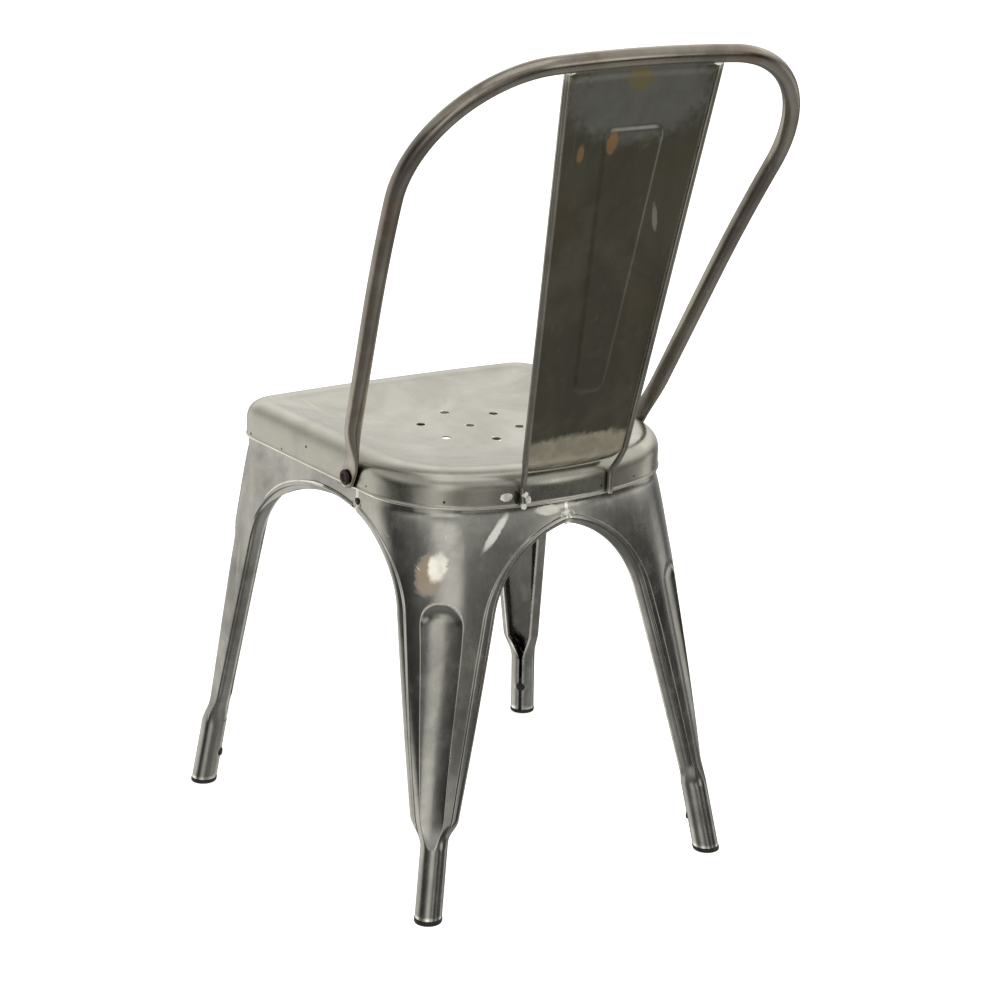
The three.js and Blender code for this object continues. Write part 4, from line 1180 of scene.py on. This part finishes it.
# Soft boxes of the studio that only light the metal: direction, cosines of the edge's inner
# and outer angle, and how much they add.
SOFT_BOXES = [
    ((0.517, -0.80, -0.30), 0.97, 0.74, 1.0),
    ((-0.50, -0.80, 0.33), 0.95, 0.55, 0.58),
    ((0.62, 0.72, -0.28), 0.995, 0.93, 0.35),
    ((0.80, 0.52, -0.30), 0.995, 0.93, 0.58),
    ((0.58, 0.78, 0.10), 0.99, 0.91, 0.85),
    ((-0.517, 0.256, -0.82), 0.95, 0.70, 0.20),
    ((-0.86, 0.1, 0.5), 0.97, 0.80, 0.5),
    ((-0.50, 0.85, 0.05), 0.995, 0.965, 1.3),
    ((-0.97, 0.05, -0.25), 0.995, 0.95, 0.8),
    ((0.1, 0.97, -0.2), 0.998, 0.975, 0.7),
]
OVERHEAD = dict(at=(0.3, 0.9, 3.2), look_at=(0, 0, 0.2), side=2.6, power=22)

# The camera looks from behind on the sitter's left, a little above the seat.
VIEW = dict(azimuth=147.24, elevation=17.52, roll=1.40, distance=2.7057, lift=0.3557, sideways=0.0267)
FOCAL_WIDTHS = 2.6285  # focal length in picture widths
CENTRE_SHIFT = (0.0002, -0.0053)


def make_floor():
    material, n, shader = new_material("floor")
    pale, paler = shade((0.86, 0.86, 0.855)), shade((0.9, 0.9, 0.895))
    n.link(n.mix(n.noise(3, 2, 0.5), pale, paler), shader["Base Color"])
    shader["Roughness"].default_value = 0.9
    shader["Emission Color"].default_value = (1, 1, 1, 1)
    shader["Emission Strength"].default_value = 0.8
    bm = bmesh.new()
    bmesh.ops.create_grid(bm, x_segments=4, y_segments=4, size=30)
    mesh = bpy.data.meshes.new("floor")
    bm.to_mesh(mesh)
    bm.free()
    mesh.materials.append(material)
    floor = bpy.data.objects.new("floor", mesh)
    floor.location.z = CAD_BOX[0][2] - 0.0003
    floor.visible_glossy = False
    bpy.context.collection.objects.link(floor)


def make_world():
    """A soft studio: bright above, dark round the horizon, mid grey below; white to the camera."""
    world = bpy.data.worlds.new("studio")
    bpy.context.scene.world = world
    world.use_nodes = True
    n = Nodes(world.node_tree, "Generated")
    split = n.add("ShaderNodeSeparateXYZ")
    share = n.add("ShaderNodeMapRange")
    share.inputs["From Min"].default_value = -1
    ramp = n.add("ShaderNodeValToRGB")
    n.link(n.coords, split.inputs[0])
    n.link(split.outputs["Z"], share.inputs["Value"])
    n.link(share.outputs["Result"], ramp.inputs["Fac"])
    ramp.color_ramp.interpolation = "EASE"
    stops = ramp.color_ramp.elements
    for position, _ in SKY[1:-1]:
        stops.new(position)
    for stop, (position, grey) in zip(stops, SKY):
        stop.position = position
        stop.color = (grey, grey * 0.99, grey * 0.95, 1)
    light = ramp.outputs["Color"]
    for direction, inner, outer, grey in SOFT_BOXES:
        dot = n.add("ShaderNodeVectorMath", operation="DOT_PRODUCT")
        dot.inputs[1].default_value = Vector(direction).normalized()
        n.link(n.coords, dot.inputs[0])
        edge = n.range(dot.outputs["Value"], outer, inner)
        light = n.mix(edge, light, (grey, grey * 0.985, grey * 0.94, 1), "ADD")
    seen = n.add("ShaderNodeLightPath").outputs["Is Camera Ray"]
    n.link(n.mix(seen, light, (1, 1, 1, 1)), n.tree.nodes["Background"].inputs["Color"])


def make_overhead():
    data = bpy.data.lights.new("overhead", "AREA")
    data.shape = "RECTANGLE"
    data.size = OVERHEAD["side"]
    data.size_y = OVERHEAD["side"]
    data.energy = OVERHEAD["power"]
    lamp = bpy.data.objects.new("overhead", data)
    lamp.location = OVERHEAD["at"]
    aim = Vector(OVERHEAD["look_at"]) - Vector(OVERHEAD["at"])
    lamp.rotation_euler = aim.to_track_quat("-Z", "Y").to_euler()
    bpy.context.collection.objects.link(lamp)


def make_camera():
    a, e, roll = (math.radians(VIEW[k]) for k in ("azimuth", "elevation", "roll"))
    back = Vector((math.sin(a) * math.cos(e), -math.cos(a) * math.cos(e), math.sin(e)))
    right = (-back).cross(Vector((0, 0, 1))).normalized()
    up = right.cross(-back)
    turned_right = right * math.cos(roll) + up * math.sin(roll)
    turned_up = up * math.cos(roll) - right * math.sin(roll)
    data = bpy.data.cameras.new("camera")
    data.sensor_width = 36
    data.lens = FOCAL_WIDTHS * data.sensor_width
    data.shift_x, data.shift_y = CENTRE_SHIFT
    camera = bpy.data.objects.new("camera", data)
    target = Vector((0, SHIFT_Y * 0.001, VIEW["lift"]))
    at = target + back * VIEW["distance"] + right * VIEW["sideways"]
    turn = Matrix((turned_right, turned_up, back)).transposed().to_4x4()
    camera.matrix_world = Matrix.Translation(at) @ turn
    bpy.context.collection.objects.link(camera)
    bpy.context.scene.camera = camera


make_floor()
make_world()
make_overhead()
make_camera()
bpy.context.scene.view_settings.view_transform = "Standard"
